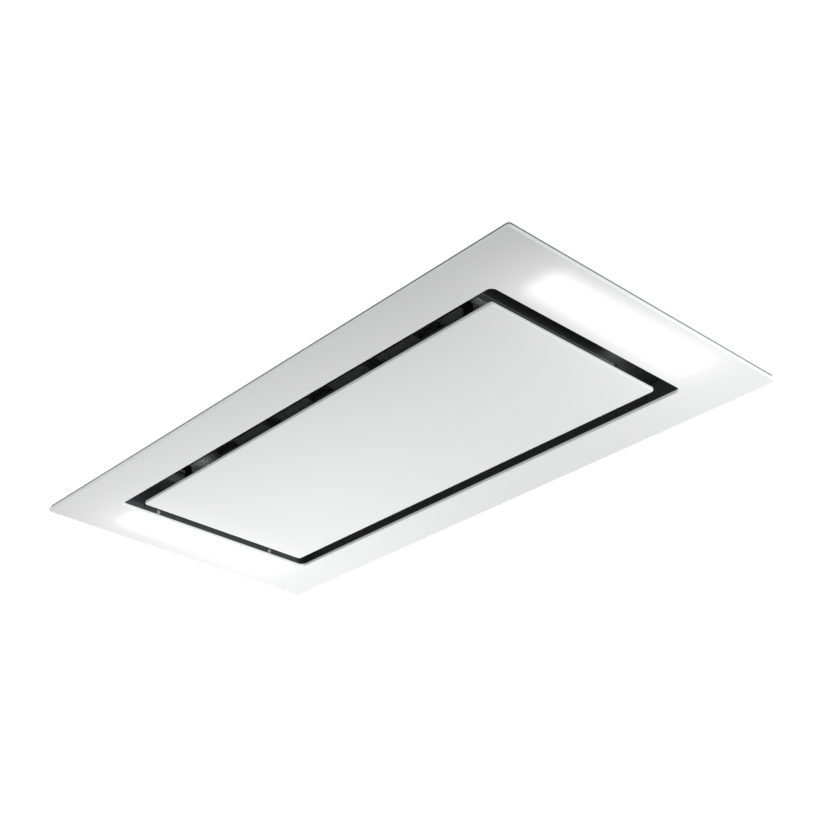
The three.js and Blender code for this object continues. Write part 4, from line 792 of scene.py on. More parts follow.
def stray_light(look):
    """The two patches of light that the photograph shows on the filters and the deck inside the gap."""
    deck, below, cone, size = span("filter_deck")[0][2], 27.0, 1.0, 0.012
    for name, place, target, share in (
        ("stray_left", (-0.335, -0.128), (-0.342, -0.142), 0.8),
        ("stray_right", (0.430, 0.125), (0.418, 0.131), 2.2),
    ):
        place, target = (*place, (deck - below) * MM), (*target, deck * MM)
        soft_lamp(name, place, target, cone, look.stray * share, size)


def near_ceiling(look):
    """The ceiling on the two near sides, which hides the body above the glass as a real one does."""
    low, high, _, _ = span("glass_frame")
    z = (span("ceiling_gasket")[1][2] + SEAT) * MM
    reach, near, far = look.ceiling * MM, 6, 20
    left, right, front, back = (
        value * MM for value in (low[0] + far, high[0] - near, low[1] + near, high[1] - far)
    )
    corners = [
        (left, front - reach, z), (right + reach, front - reach, z), (right + reach, back, z),
        (right, back, z), (right, front, z), (left, front, z),
    ]
    backdrop("ceiling", corners)


class HOOD_OT_stage(bpy.types.Operator):
    """Sets the camera, the white room, the lamps, the floor and the ceiling"""

    bl_idname = "hood.stage"
    bl_label = "Stage"

    def execute(self, context):
        look = context.scene.hood_stage
        context.scene.view_settings.view_transform = "Standard"
        camera = bpy.data.objects.new("camera", bpy.data.cameras.new("camera"))
        context.scene.collection.objects.link(camera)
        camera.data.lens = look.lens
        camera.data.sensor_width = SENSOR
        camera.matrix_world = Matrix.Translation(CAMERA_PLACE) @ Matrix(CAMERA_AXES).transposed().to_4x4()
        context.scene.camera = camera
        room(look)
        soft_lamp("key", (-2.0, 1.226, -2.26), (-0.566, 0.2, 0.0), 0.234, look.key)
        soft_lamp("side", (2.322, 0.941, -1.304), (0.54, 0.256, 0.0), 0.262, look.side)
        soft_lamp("top", (-0.9, 1.3, 2.6), (0.0, 0.0, 0.1), 0.5, look.top)
        stray_light(look)
        z, half = -look.floor * MM, 9.0
        backdrop("floor", [(-half, -half, z), (half, -half, z), (half, half, z), (-half, half, z)])
        near_ceiling(look)
        return {"FINISHED"}


# ---- glass and recess ----
def polished(name, plate, body, node):
    """Makes a piece of glass whose upright and rounded faces have the finish of its edge."""
    mesh = put(name, "white_glass", "white_glass", plate, body=body, replaces=node).data
    mesh.materials.append(finish("glass_edge"))
    normals = np.zeros(len(mesh.polygons) * 3)
    mesh.polygons.foreach_get("normal", normals)
    flat = np.abs(normals.reshape(-1, 3)[:, 2]) > FLAT
    mesh.polygons.foreach_set("material_index", np.where(flat, 0, 1).astype(np.int32))


class HOOD_OT_glass(bpy.types.Operator):
    """Makes the glass frame and the glass of the hinged panel, with rounded and polished edges"""

    bl_idname = "hood.glass"
    bl_label = "Glass"

    def execute(self, context):
        arris = context.scene.hood_glass.arris
        low, high, _, _ = span("glass_frame")
        plate = ring_slab(high[:2], GLASS_CORNER, OPENING, OPENING_CORNER, low[2], high[2], arris, 10)
        polished("frame_glass", plate, "chassis", "glass_frame")
        low, high, _, _ = span("panel_glass")
        plate = slab(high[:2], GLASS_CORNER, low[2], high[2], arris, 8)
        polished("hinged_glass", plate, "panel", "panel_glass")
        return {"FINISHED"}


class HOOD_OT_recess(bpy.types.Operator):
    """Finishes the tray, the gasket, the panel's tray, the recess and the deck, and adds their screws"""

    bl_idname = "hood.recess"
    bl_label = "Tray and recess"

    def execute(self, context):
        dress("frame_tray", "tray_paint", 0.4)
        dress("panel_tray", "black_paint", 0.4)
        dress("recess_liner", "black_paint", 0.4)
        dress("filter_deck", "deck_paint", 0.4)
        dress("ceiling_gasket", "foam", 0.8)
        for i in range(1, 5):
            node = f"frame_screw_{i}"
            low, high, centre, half = span(node)
            axis, face = ("+x", low[0]) if low[0] > 0 else ("-x", high[0])
            head = screw((half[1], 2.6, 2.0, 10.0), axis, (face, *centre[1:]))
            put(f"frame_screw_head_{i}", "bright_steel", "white_zinc", head, replaces=node)
        return {"FINISHED"}


# ---- catches and hinges ----
def catch_bracket(name):
    """A strip that runs along the panel's tray, rises, and turns out under the magnet to a narrower tip."""
    node = f"catch_bracket_{name}"
    low, high, centre, _ = span(node)
    sheet, taper = 2.0, 5.0
    half = sheet / 2
    bottom, top, riser = low[2] + half, high[2] - half, CATCH_RISER + half
    path = rounded([(high[1], bottom), (riser, bottom), (riser, top), (low[1], top)], 2.4)
    path = np.concatenate([path[:-2], np.linspace(path[-2], path[-1], 8)])
    near_tip = np.clip((low[1] + taper - path[:, 0]) / taper, 0, 1) * (path[:, 1] > high[2] - sheet)
    width = high[0] - low[0]
    bracket = shifted(strip(path, width, sheet, 0.4, 1 - near_tip * 2 * taper / width), (centre[0], 0, 0))
    put(f"catch_{name}", "black_paint", "catch_paint", bracket, body="panel", replaces=node)
    size = (3.4, 2.0, 1.9, 2.0)
    place = (centre[0], high[1] - 10, low[2] + sheet + size[1])
    put_screws(f"catch_screw_{name}", size, "-z", [place], "panel")


class HOOD_OT_catches(bpy.types.Operator):
    """Makes the catch brackets of the panel and the magnets above them"""

    bl_idname = "hood.catches"
    bl_label = "Catches"

    def execute(self, context):
        for name in SIDES:
            catch_bracket(name)
            node = f"catch_magnet_{name}"
            low, high, centre, half = span(node)
            shoe = slab(half[:2], 2.0, low[2], high[2], 0.5, 4, centre[:2])
            put(f"magnet_{name}", "dark_steel", "ferrite", shoe, replaces=node)
        return {"FINISHED"}


def hinge_leaf(name):
    """A foot on the panel's tray, an arm that rises from it to the pin, and a bush round the pin."""
    node = f"hinge_leaf_{name}"
    low, _, (x, _, _), half = span(node)
    y, z = HINGE_LINE
    knuckle, bush_half, wall, foot_top = 6.5, 6.0, 163.5, low[2] + 2.5
    foot = slab((half[0], 18.0), 3.0, low[2], foot_top, 0.5, 4, (x, wall - 18.0))
    corners = [
        (wall - 10, low[2] + 0.5), (wall, low[2] + 0.5), (wall, 20.0), (y + 5.5, 21.0),
        (y + 5.5, z), (y - knuckle, z), (wall - 10, 29.5),
    ]
    arm = bar(rounded(corners, (0.6, 0.6, 2.0, 2.0, 0, 0, 3.0), closed=True), -bush_half, bush_half)
    bush = laid(roller(3.3, knuckle, -bush_half, bush_half, 0.5, 0.5, 48), "+x")
    parts = foot, shifted(arm, (x, 0, 0)), shifted(bush, (x, y, z))
    put(f"leaf_{name}", "bright_steel", "zinc_plate", *parts, body="panel", replaces=node, bevel=0.35)
    size = (3.2, 1.9, 1.9, 2.0)
    places = [(x + side, wall - 22, foot_top + size[1]) for side in (-13, 13)]
    put_screws(f"leaf_screws_{name}", size, "-z", places, "panel")


def hinge_bracket(name):
    """A plate under the deck with two ears that are round at their tips, and the pin through both."""
    node = f"hinge_bracket_{name}"
    _, high, centre, half = span(node)
    x, top, (y, z), ear = centre[0], high[2], HINGE_LINE, 7.0
    plate = slab(half[:2], 3.0, top - 2.5, top, 0.5, 4, centre[:2])
    tip = on_circle(ear, np.linspace(math.pi, 2 * math.pi, 17), HINGE_LINE)
    profile = np.concatenate([tip, [(y + ear + 3, top - 2.0), (y - ear - 3, top - 2.0)]])
    ears = [bar(profile, start, start + 3.0) for start in (x - 9.5, x + 6.5)]
    pin = lathe([(0.5, -11.0), (2.2, -10.8), (3, -10), (3, 10), (2.2, 10.8), (0.5, 11.0)], 32)
    pin = shifted(laid(pin, "+x"), (x, y, z))
    put(f"hinge_{name}", "bright_steel", "zinc_plate", plate, *ears, pin, replaces=node, bevel=0.35)


class HOOD_OT_hinges(bpy.types.Operator):
    """Makes the hinge leaves on the panel and the brackets with their pins under the deck"""

    bl_idname = "hood.hinges"
    bl_label = "Hinges"

    def execute(self, context):
        for name in SIDES:
            hinge_leaf(name)
            hinge_bracket(name)
        return {"FINISHED"}


# ---- filters ----
def perforated(half, z0, z1, pitch, share, clear):
    """A sheet made of six-sided cells, each with a six-sided hole. Their middles lie on a triangular net:
    across by a whole pitch, and up by half the root of three, with every other row shifted by half a pitch.
    Cells in the clear rectangle are left out. Corners past the sheet's edge are drawn in to it, and points
    that fall together are one. A side that no second cell shares gets an upright face."""
    row_pitch = pitch * math.sqrt(3) / 2
    columns, rows = int(2 * half[0] / pitch) + 2, int(2 * half[1] / row_pitch) + 2
    row, column = np.meshgrid(np.arange(rows), np.arange(columns), indexing="ij")
    x = (column + 0.5 * (row % 2) - columns / 2) * pitch
    y = (row - rows / 2 + 0.5) * row_pitch
    (left, right), (front, back) = clear
    margin = 0.3 * pitch
    kept = (np.abs(x) < half[0] - margin) & (np.abs(y) < half[1] - margin)
    kept &= ~((x > left) & (x < right) & (y > front) & (y < back))
    centres = np.stack([x[kept], y[kept]], -1)[:, None]
    spoke = on_circle(1.0, math.pi / 2 + turns(6)) * pitch / math.sqrt(3)
    cell = np.clip(centres + spoke, -half, half)
    flat = np.concatenate([cell, centres + spoke * share], 1).reshape(-1, 2)
    _, first, same = np.unique(np.round(flat, 3), axis=0, return_index=True, return_inverse=True)
    same = same.reshape(-1, 12)
    a, c = same[:, :6], same[:, 6:]
    a, b, c, d = (corner.reshape(-1) for corner in (a, np.roll(a, -1, 1), c, np.roll(c, -1, 1)))
    lower, count = flat[first], len(first)
    points = np.concatenate([at_height(lower, z0), at_height(lower, z1)])
    bottom = np.stack([a, c, d, b], -1)
    top = np.stack([a, b, d, c], -1) + count
    wall = np.stack([c, c + count, d + count, d], -1)
    alone = ~np.isin(a * count + b, b * count + a) & (a != b)
    a, b = a[alone], b[alone]
    return points, [bottom, top, wall, np.stack([a, b, b + count, a + count], -1)]


def cassette(i, x, half, z0, z1):
    """The folded frame, from its outer wall over a rolled edge and an inner wall to the lip under the sheets,
    with its two tabs on the deck and the seat of its latch."""
    wall, lip, rail = 2.0, z0 + 1.5, 12.0
    section = [
        (2.0, z0), (1.1, z0), (0.4, z0 + 0.4), (0, z0 + 1.1), (0, z1 - 0.9), (0.4, z1 - 0.25), (1.0, z1),
        (1.6, z1 - 0.25), (wall, z1 - 0.9), (wall, lip + 0.8), (wall + 0.4, lip), (rail - 1.0, lip),
        (rail - 0.2, lip - 0.3), (rail, z0 + 0.75), (rail - 0.2, z0 + 0.3), (rail - 0.9, z0),
    ]
    folded = skin([at_height(outline(half, 5.0, inset), z) for inset, z in section], wrap=True)
    tab = slab((10.0, 4.0), 2.0, ON_DECK, ON_DECK + 2, 0.4, 3, (0, half[1] + 3.5))
    tabs = [shifted(tab, (side, 0, 0)) for side in (-80.0, 80.0)]
    frame_parts = moved((folded, *tabs), (x, 0, 0))
    put(f"cassette_{i}", "aluminium", "anodised_frame", *frame_parts, replaces=f"filter_frame_{i}")
    front, roof_z = -half[1], 65.1
    roof = slab((26.0, 13.3), 1.5, roof_z, z1, 0.5, 3, (0, front + 14.4))
    lower = z0 + 0.1, roof_z + 0.5, 0.4, 3
    cheeks = [slab((4.2, 13.3), 1.2, *lower, (cheek, front + 14.4)) for cheek in (-21.7, 21.7)]
    back = slab((26.0, 2.4), 1.2, *lower, (0, front + 25.4))
    put(f"latch_seat_{i}", "grey_plastic", "grey_plastic", *moved((roof, *cheeks, back), (x, 0, 0)))


def sheets(i, x, look):
    """The fine sheet, and above it a coarser one of thinner bars, each with room for the latch seat."""
    node = f"filter_sheet_{i}"
    low, _, _, half = span(node)
    fine_sheet, coarse_sheet, coarser, coarse_share, seat, margin = 0.7, 0.5, 1.7, 0.72, 28.0, 0.1
    half = half[:2] - margin
    clear = ((-seat, seat), (-half[1] - 1, -half[1] + seat))
    fine = perforated(half, low[2], low[2] + fine_sheet, look.pitch, look.open_share, clear)
    put(f"perforated_sheet_{i}", "aluminium", "anodised_mesh", shifted(fine, (x, 0, 0)), replaces=node)
    z = low[2] + look.backing_gap
    coarse = perforated(half, z, z + coarse_sheet, look.pitch * coarser, coarse_share, clear)
    coarse = shifted(coarse, (x + look.pitch * 0.4, 0, 0))
    put(f"backing_sheet_{i}", "aluminium", "anodised_mesh", coarse)


def latch(i, x):
    """The sliding latch: a body with a tongue over the deck, and a ribbed grip that hangs down."""
    node = f"filter_latch_{i}"
    low, high, _, half = span(node)
    bottom, (_, grip, top), back, step = low[2], high, -154.5, 60.4
    upper = [(grip, bottom + 0.5), (grip, top), (back, top), (back, step)]
    corners = [*upper, (grip - 3.4, step), (grip - 2.4, bottom)]
    body = bar(rounded(corners, (0.8, 0.6, 0.6, 0.6, 1.6, 0.8), closed=True), -half[0], half[0])
    tongue_half, tongue_y = (grip - low[1]) / 2 - 2, (low[1] + grip) / 2 - 2
    tongue = slab((12.0, tongue_half), 2.0, ON_DECK + 0.1, top - 0.1, 0.5, 3, (0, tongue_y))
    places = np.linspace(-12, 12, 7)
    ribs = [slab((0.7, 0.5), 0.4, bottom + 1.2, step - 0.4, 0.2, 2, (rib, grip + 0.1)) for rib in places]
    parts = moved((body, tongue, *ribs), (x, 0, 0))
    name = f"latch_slide_{i}"
    put(name, "black_plastic", "black_plastic", *parts, body=f"latch_{i}", replaces=node, bevel=0.3)


class HOOD_OT_filters(bpy.types.Operator):
    """Makes the three grease filters: folded frames, two perforated sheets, tabs, latch seats and latches"""

    bl_idname = "hood.filters"
    bl_label = "Grease filters"

    def execute(self, context):
        for i in (1, 2, 3):
            low, high, (x, _, _), half = span(f"filter_frame_{i}")
            cassette(i, x, (half[0], FILTER_DEPTH / 2), low[2], high[2])
            sheets(i, x, context.scene.hood_filters)
            latch(i, x)
        return {"FINISHED"}


# ---- lights, casing and fixings ----
class HOOD_OT_lights(bpy.types.Operator):
    """Finishes the lamp housings and diffusers, and makes the boards with their lamp chips"""

    bl_idname = "hood.lights"
    bl_label = "Lights"

    def execute(self, context):
        for name in SIDES:
            dress(f"led_housing_{name}", "galvanised", 0.4)
            dress(f"led_diffuser_{name}", "opal")
            node = f"led_strip_{name}"
            low, high, centre, half = span(node)
            board = slab(half[:2], 1.0, high[2] - 1.6, high[2], 0.15, 3, centre[:2])
            put(f"lamp_board_{name}", "white_plastic", "circuit_board", board, replaces=node)
            places = low[1] + (np.arange(LAMP_CHIPS) + 0.5) * 2 * half[1] / LAMP_CHIPS
            chips = [slab((2.5, 2.5), 0.4, low[2], high[2] - 1.5, 0.3, 3, (centre[0], y)) for y in places]
            put(f"lamp_chips_{name}", "opal_plastic", "lamp_chip", *chips)
        return {"FINISHED"}


class HOOD_OT_casing(bpy.types.Operator):
    """Finishes the body and its cover, and adds the screws that close them"""

    bl_idname = "hood.casing"
    bl_label = "Casing"

    def execute(self, context):
        dress("body_shell", "galvanised", 0.4)
        dress("top_cover", "galvanised", 0.4)
        size = (3.6, 2.2, 1.8, 2.0)
        end, side, z = span("body_shell")[1][0] + size[1], BODY_SIDE + size[1], CASING_SCREW_HEIGHT
        along, across = np.linspace(-440, 440, 7), (-225, 225)
        screws = []
        for sign, way in ((-1, "+"), (1, "-")):
            screws += [screw(size, way + "y", (x, sign * side, z)) for x in along]
            screws += [screw(size, way + "x", (sign * end, y, z)) for y in across]
        put("casing_screws", "bright_steel", "screw_steel", *screws)
        return {"FINISHED"}


def clamp_dog(i, x, y):
    """The dog: a strip that runs out over the board and turns down, with a hub round the screw.
    Behind the screw the strip's width follows the square root of one less a square, which rounds its end."""
    node = f"clamp_dog_{i}"
    low, high, _, _ = span(node)
    sheet, reach = 3.0, 34.0
    middle, tip = high[2] - sheet / 2, reach - sheet / 2
    path = rounded([(-7.0, middle), (tip, middle), (tip, low[2])], 3.0)
    path = np.concatenate([np.linspace(path[0], path[1], 10), path[2:]])
    rounding = np.sqrt(np.clip(1 - ((-path[:, 0]).clip(0) / 7.2) ** 2, 0.05, 1))
    arm = strip(path, 14.0, sheet, 0.5, rounding)
    bottom, top = low[2] + 2.0, high[2] - 1.0
    hub = lathe([(2.8, bottom), (6.4, bottom), (7.0, bottom + 0.6), (7.0, top), (2.8, top)], 40, True)
    parts = [shifted(turned(part, 0 if y > 0 else math.pi), (x, y, 0)) for part in (arm, hub)]
    put(f"clamp_arm_{i}", "galvanised_steel", "galvanised", *parts, body=f"clamp_{i}", replaces=node)


class HOOD_OT_fixings(bpy.types.Operator):
    """Makes the ceiling clamps with their threaded screws, and finishes the hanger rails"""

    bl_idname = "hood.fixings"
    bl_label = "Clamps and rails"

    def execute(self, context):
        for name in SIDES:
            dress(f"hanger_rail_{name}", "galvanised", 0.5)
        for i in range(1, 5):
            node = f"clamp_screw_{i}"
            low, high, (x, y, _), _ = span(node)
            head = screw((5.0, 3.0, 2.4, 0.5), "+z", (x, y, low[2]))
            shank = shifted(thread(2.5, 0.8, 0.35, low[2] + 3.2, high[2] - 0.4), (x, y, 0))
            put(f"clamp_bolt_{i}", "bright_steel", "screw_steel", head, shank, replaces=node)
            clamp_dog(i, x, y)
        return {"FINISHED"}


# ---- blower ----
def ring(profile):
    """A profile closed on itself and carried round the blower's line."""
    return shifted(lathe(profile, 96, True), (*BLOWER_CENTRE, 0))


def box_ring(inner, outer, bottom, top):
    return ring([(inner, bottom), (outer, bottom), (outer, top), (inner, top)])


def scroll_path(offset):
    """The scroll's wall as an open path from the mouth's far side round the wheel to its near side.
    The radius grows evenly with the angle from the tongue, and ends in a straight run out to the mouth."""
    tongue, start, end, width = math.pi / 3, 121.0, 165.0, 150.0
    mouth = SCROLL_MOUTH - BLOWER_CENTRE[1]
    angle = np.linspace(2 * math.pi, tongue + offset * 1.2 / start, 96)
    radius = start + (end - start) * (angle - tongue) / (2 * math.pi - tongue) + offset
    near = [(50 - offset, 122 - offset * 0.3), (end - width - offset, mouth)]
    return np.concatenate([[(end + offset, mouth)], on_circle(radius, angle), near]) + BLOWER_CENTRE


def wall_band(low, high, thickness):
    """A band of the scroll's wall between two heights: the strip's width stands up along Z."""
    points, faces = strip(scroll_path(1.0), high - low, thickness)
    across, x, y = points.T
    return np.stack([x, y, across + (low + high) / 2], -1), faces


def scroll():
    """Two halves that meet in flanges at a split: the lower has the inlet, and the upper ribs and buffers."""
    z0, z1 = span("blower_lower")[0][2], SCROLL_TOP
    split = (z0 + z1) / 2
    plan = scroll_path(2.0)[::-1]
    floor = extruded(plan, z0, z0 + 2, [on_circle(86.0, turns(96), BLOWER_CENTRE)])
    rim = z0 + 7
    lip = ring([(86, z0), (87.2, z0), (88, z0 + 1), (88, rim - 1), (87.4, rim), (86.6, rim), (86, rim - 1)])
    ridges = [box_ring(r, r + 1.6, z0 + 1.9, z0 + 4) for r in (96.0, 106.0)]
    walls = wall_band(z0 + 1, split - 0.15, 2.0), wall_band(split - 4, split - 0.15, 6.0)
    lower = floor, *walls, lip, *ridges
    put("scroll_lower", "grey_plastic", "grey_plastic", *lower, replaces="blower_lower")
    vents = [on_circle(5.0, turns(24), middle) for middle in on_circle(28, turns(6), BLOWER_CENTRE)]
    roof = extruded(plan, z1 - 2, z1, vents)
    root, crest = z1 - 0.5, z1 + 4.0
    ribs = copies(slab((22.0, 1.0), 0.9, root, crest, 0.5, 2, (80.0, 0)), turns(12) + 0.2, BLOWER_CENTRE)
    boss = ring([(55, root), (55, crest - 0.8), (56, crest), (58, crest), (59, crest - 0.8), (59, root)])
    walls = wall_band(split + 0.15, z1 - 1, 2.0), wall_band(split + 0.15, split + 4, 6.0)
    upper = roof, *walls, *ribs, boss
    put("scroll_upper", "grey_plastic", "grey_plastic", *upper, replaces="blower_upper")
    top = span("blower_upper")[1][2]
    waist = [(9, z1 + 5), (7, z1 + 9), (7, z1 + 13), (9, z1 + 17)]
    buffer = lathe([(6, z1 - 1), (9, z1 - 1), *waist, (9, top - 1), (8, top)], 32)
    places = on_circle(95, np.radians((70, 150, 230, 310)), BLOWER_CENTRE)
    buffers = [shifted(buffer, (*place, 0)) for place in places]
    put("scroll_buffers", "black_plastic", "black_plastic", *buffers)


def wheel():
    """A rim, a band and a dished back plate carry the blades, thin arcs that lean ahead of their roots.
    The lean grows with the square of the way out, and the thickness swells like a half sine."""
    low, high, centre, _ = span("impeller")
    z0, z1, middle = low[2], high[2], centre[2]
    eye, rim, well = 90.0, 110.0, 146.0
    lower = ring([
        (eye, z0 + 0.4), (eye + 0.6, z0), (rim - 0.6, z0), (rim, z0 + 0.6), (rim, z0 + 2.5), (eye, z0 + 2.5),
    ])
    back = ring([
        (4.3, well - 10), (12, well - 10), (12, well - 2.5), (50, well - 2.5), (55, well - 1), (60, z1 - 6),
        (64, z1 - 2.5), (rim, z1 - 2.5), (rim, z1 - 0.4), (rim - 0.5, z1), (62, z1), (58, z1 - 3),
        (53.5, well + 2), (50, well), (4.3, well),
    ])
    band = box_ring(rim - 1.6, rim - 0.2, middle - 1.2, middle + 1.2)
    share = np.linspace(0, 1, 8)
    radius = eye + 1 + (rim - eye - 2) * share
    lean = 0.17 * share**2
    half = (0.35 + 0.35 * np.sin(share * math.pi)) / radius
    turn = np.concatenate([lean - half, (lean + half)[::-1]])
    profile = on_circle(np.concatenate([radius, radius[::-1]]), turn)
    blade = skin([at_height(profile, z0 + 1.5), at_height(profile, z1 - 1.5)])
    parts = lower, back, band, *copies(blade, turns(BLADES), BLOWER_CENTRE)
    put("wheel_blades", "black_plastic", "black_plastic", *parts, body="wheel", replaces="impeller")


def motor():
    """The motor with its shaft, cooling fins and flange, and the capacitor with its beaded can."""
    low, high, _, _ = span("blower_motor")
    z0, z1 = low[2], high[2]
    can = lathe(
        [
            (0.6, z0), (3.6, z0), (4, z0 + 0.5), (4, 150), (13.4, 150), (14, 150.6), (14, 152), (39, 152),
            (42.5, 153), (44, 156), (44, 170), (43.2, 170.8), (43.2, 186), (44, 186.8), (44, z1 - 3),
            (53.4, z1 - 3), (54, z1 - 2.4), (54, z1 - 0.3), (53.5, z1), (0.6, z1),
        ],
        72,
    )
    fins = copies(slab((1.6, 0.6), 0.5, 172.0, z1 - 3.2, 0.4, 2, (44.8, 0)), turns(24), BLOWER_CENTRE)
    can = shifted(can, (*BLOWER_CENTRE, 0))
    put("motor", "motor_steel", "motor_steel", can, *fins, replaces="blower_motor")
    low, high, (x, y, _), _ = span("capacitor")
    top = high[2] - low[2]
    can = lathe([
        (1, 0), (4, 0), (5, 0.8), (5, 8), (17, 8), (19.4, 8.8), (20, 10.4), (20, 13), (19.3, 13.8),
        (19.3, 16), (20, 16.8), (20, top - 2), (19.4, top - 0.5), (18, top), (1, top),
    ])
    put("capacitor_can", "white_plastic", "can_sleeve", shifted(can, (x, y, low[2])), replaces="capacitor")


class HOOD_OT_blower(bpy.types.Operator):
    """Makes the blower: both halves of its scroll, the bladed wheel, the motor and its capacitor"""

    bl_idname = "hood.blower"
    bl_label = "Blower"

    def execute(self, context):
        scroll()
        wheel()
        motor()
        return {"FINISHED"}


# ---- duct ----
def collar():
    """A tube with a bead and a rounded mouth, on a flange with four ribs and four screws."""
    low, high, _, (half_x, _, half_z) = span("duct_collar")
    start, end = low[1], high[1] - low[1]
    radius, inner, flange_thickness = 75.0, 72.5, 3.0
    tube = lathe(
        [
            (inner, 0.5), (radius + 2.0, 2.6), (radius + 0.5, 3.6), (radius, 5), (radius, end - 15),
            (radius + 0.8, end - 14), (radius + 1.5, end - 12.5), (radius + 1.5, end - 11.5),
            (radius + 0.8, end - 10), (radius, end - 9), (radius, end - 1.2), (radius - 0.4, end - 0.3),
            (radius - 1, end), (inner + 0.4, end), (inner, end - 0.6),
        ],
        128, True,
    )
    # laid over to +Y, the plan's x stands up and its y lies along X
    plan = outline((half_z, half_x), 12.0, 0, 8)
    flange = extruded(plan, 0.0, flange_thickness, [on_circle(inner, turns(128))])
    rib = slab((5.0, 1.0), 0.8, 2.5, 14.0, 0.5, 2, (radius + 3.4, 0))
    ribs = copies(rib, np.radians((45, 135, 225, 315)))
    parts = [shifted(laid(part, "+y"), (0, start, DUCT_HEIGHT)) for part in (tube, flange, *ribs)]
    put("collar", "black_plastic", "black_plastic", *parts, replaces="duct_collar", bevel=0.3)
    size = (3.8, 2.3, 1.9, 3.0)
    x, y, z = half_x - 8, start + flange_thickness + size[1], half_z - 8
    places = [(sx * x, y, DUCT_HEIGHT + sz * z) for sx in (-1, 1) for sz in (-1, 1)]
    put_screws("collar_screws", size, "-y", places)


def flaps():
    """Each flap is half a disc with three ribs and with knuckles webbed to it, and both turn on one pin."""
    low, high, _, _ = span("flap_pin")
    pin = shifted(roller(0.4, 2, low[2], high[2], 0.3, 0.4, 24, False), (*FLAP_LINE, 0))
    put("flap_axle", "bright_steel", "screw_steel", pin, replaces="flap_pin")
    radius, neck, thickness = 70.5, 6.5, 1.6
    half = thickness / 2
    limit = math.acos(neck / radius)
    web_start, web_end = 3.0, neck + 2
    web_half, web_middle = ((web_end - web_start) / 2, half), (web_start + web_end) / 2
    for name, side in SIDES.items():
        plan = on_circle(radius, np.linspace(-limit, limit, 48)) * (side, 1)
        leaf = extruded(plan[::side], -half, half)
        rib = slab((24.0, 0.7), 0.6, half - 0.3, half + 1.4, 0.4, 2, (side * 36.0, 0))
        ribs = [shifted(rib, (0, y, 0)) for y in (-26.0, 0.0, 26.0)]
        parts = [stood(part) for part in (leaf, *ribs)]
        for z0, z1 in [(-13, 13)] if side > 0 else [(-40, -14), (14, 40)]:
            parts.append(roller(2.3, 4, z0, z1, 0.4, 0.4, 32))
            parts.append(slab(web_half, 0.3, z0, z1, 0.3, 2, (side * web_middle, 0)))
        parts = moved(parts, (*FLAP_LINE, DUCT_HEIGHT))
        node = f"flap_{name}"
        put(f"damper_{name}", "grey_plastic", "grey_plastic", *parts, body=node, replaces=node)


class HOOD_OT_duct(bpy.types.Operator):
    """Makes the duct collar with its bead and flange, its screws, and the two flaps on their pin"""

    bl_idname = "hood.duct"
    bl_label = "Duct collar"

    def execute(self, context):
        collar()
        flaps()
        return {"FINISHED"}


# ---- wiring ----
def terminals():
    """Five blocks side by side on one base, each with its screw."""
    low, high, centre, half = span("terminal_block")
    pitch = 2 * half[1] / 5
    places = low[1] + (np.arange(5) + 0.5) * pitch
    block_half = (half[0] - 0.1, pitch / 2 - 0.5)
    blocks = [slab(block_half, 1.0, low[2], high[2], 0.6, 3, (centre[0], y)) for y in places]
    base = slab((half[0] - 1, half[1] - 0.3), 0.8, low[2] + 1, low[2] + 8, 0.4, 3, centre[:2])
    put("terminals", "grey_plastic", "white_plastic", base, *blocks, replaces="terminal_block")
    screws = [screw((2.6, 1.4, 1.2, 1.0), "+x", (low[0] - 0.9, y, centre[2])) for y in places]
    put("terminal_screws", "bright_steel", "brass", *screws)


def gland():
    """A sleeve through the wall, a hexagonal base and a domed nut with grip ribs, bored for the cable."""
    low, high, (_, y, z), _ = span("cable_gland")
    inner, wall, end = low[0], BODY_END, high[0]
    sleeve = lathe([(4, inner), (7.4, inner), (8, inner + 0.6), (8, wall + 0.2), (4, wall + 0.2)], 48, True)
    hexagon = roller(4, 12, wall, wall + 4.8, 0.8, 0.6, 6)
    nut = lathe(
        [
            (4, wall + 4.6), (10, wall + 4.6), (10, wall + 7), (9.4, wall + 8.6), (7.6, end), (4.8, end),
            (4, end - 0.8),
        ],
        48, True,
    )
    ribs = copies(slab((0.5, 0.5), 0.3, wall + 4.8, wall + 7.6, 0.3, 2, (10.1, 0)), turns(16))
    parts = [shifted(laid(part, "+x"), (0, y, z)) for part in (sleeve, hexagon, nut, *ribs)]
    put("gland", "black_plastic", "black_plastic", *parts, replaces="cable_gland")


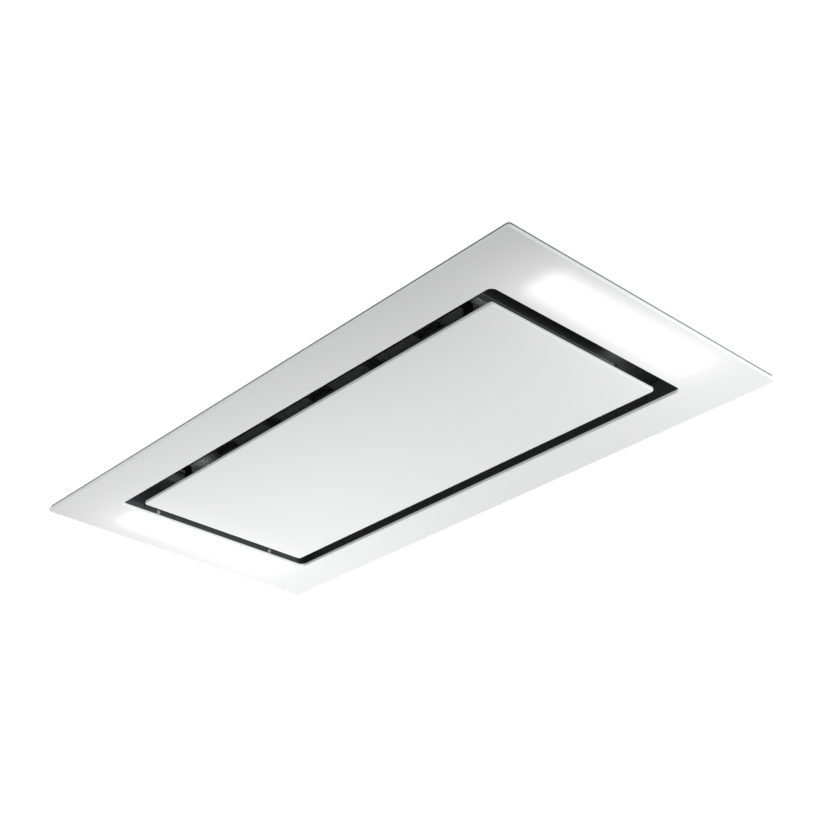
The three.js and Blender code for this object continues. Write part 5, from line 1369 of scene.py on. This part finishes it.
class HOOD_OT_wiring(bpy.types.Operator):
    """Finishes the control box and its lid, and makes the terminals and the cable gland"""

    bl_idname = "hood.wiring"
    bl_label = "Control box"

    def execute(self, context):
        dress("control_box", "white_plastic", 0.5)
        dress("control_lid", "white_plastic", 0.5)
        (x, y0, z0), (_, y1, z1), _, _ = span("control_lid")
        places = [(x - 0.1, y, z) for y in (y0 + 6, y1 - 6) for z in (z0 + 6, z1 - 6)]
        put_screws("lid_screws", (2.8, 1.6, 1.4, 1.0), "+x", places)
        terminals()
        gland()
        return {"FINISHED"}


# ---- panel in the sidebar ----
OPERATORS = (
    HOOD_OT_stage,
    HOOD_OT_glass,
    HOOD_OT_recess,
    HOOD_OT_catches,
    HOOD_OT_hinges,
    HOOD_OT_filters,
    HOOD_OT_lights,
    HOOD_OT_casing,
    HOOD_OT_fixings,
    HOOD_OT_blower,
    HOOD_OT_duct,
    HOOD_OT_wiring,
)
GROUPS = {
    "hood_glass": HoodGlass,
    "hood_filters": HoodFilters,
    "hood_finish": HoodFinish,
    "hood_stage": HoodStage,
}


class HOOD_PT_sidebar(bpy.types.Panel):
    """Lists the hood's settings and the steps that build it"""

    bl_idname = "HOOD_PT_sidebar"
    bl_label = "Ceiling range hood"
    bl_space_type = "VIEW_3D"
    bl_region_type = "UI"
    bl_category = "Hood"

    def draw(self, context):
        for name, group in GROUPS.items():
            box = self.layout.box()
            for setting in group.__annotations__:
                box.prop(getattr(context.scene, name), setting)
        for operator in OPERATORS:
            self.layout.operator(operator.bl_idname)


def register():
    for cls in (*GROUPS.values(), *OPERATORS, HOOD_PT_sidebar):
        bpy.utils.register_class(cls)
    for name, group in GROUPS.items():
        setattr(bpy.types.Scene, name, bpy.props.PointerProperty(type=group))


def unregister():
    for name in GROUPS:
        delattr(bpy.types.Scene, name)
    for cls in reversed((*GROUPS.values(), *OPERATORS, HOOD_PT_sidebar)):
        bpy.utils.unregister_class(cls)


def main():
    register()
    for operator in OPERATORS:
        _, name = operator.bl_idname.split(".")
        getattr(bpy.ops.hood, name)()


if __name__ == "__main__":
    main()
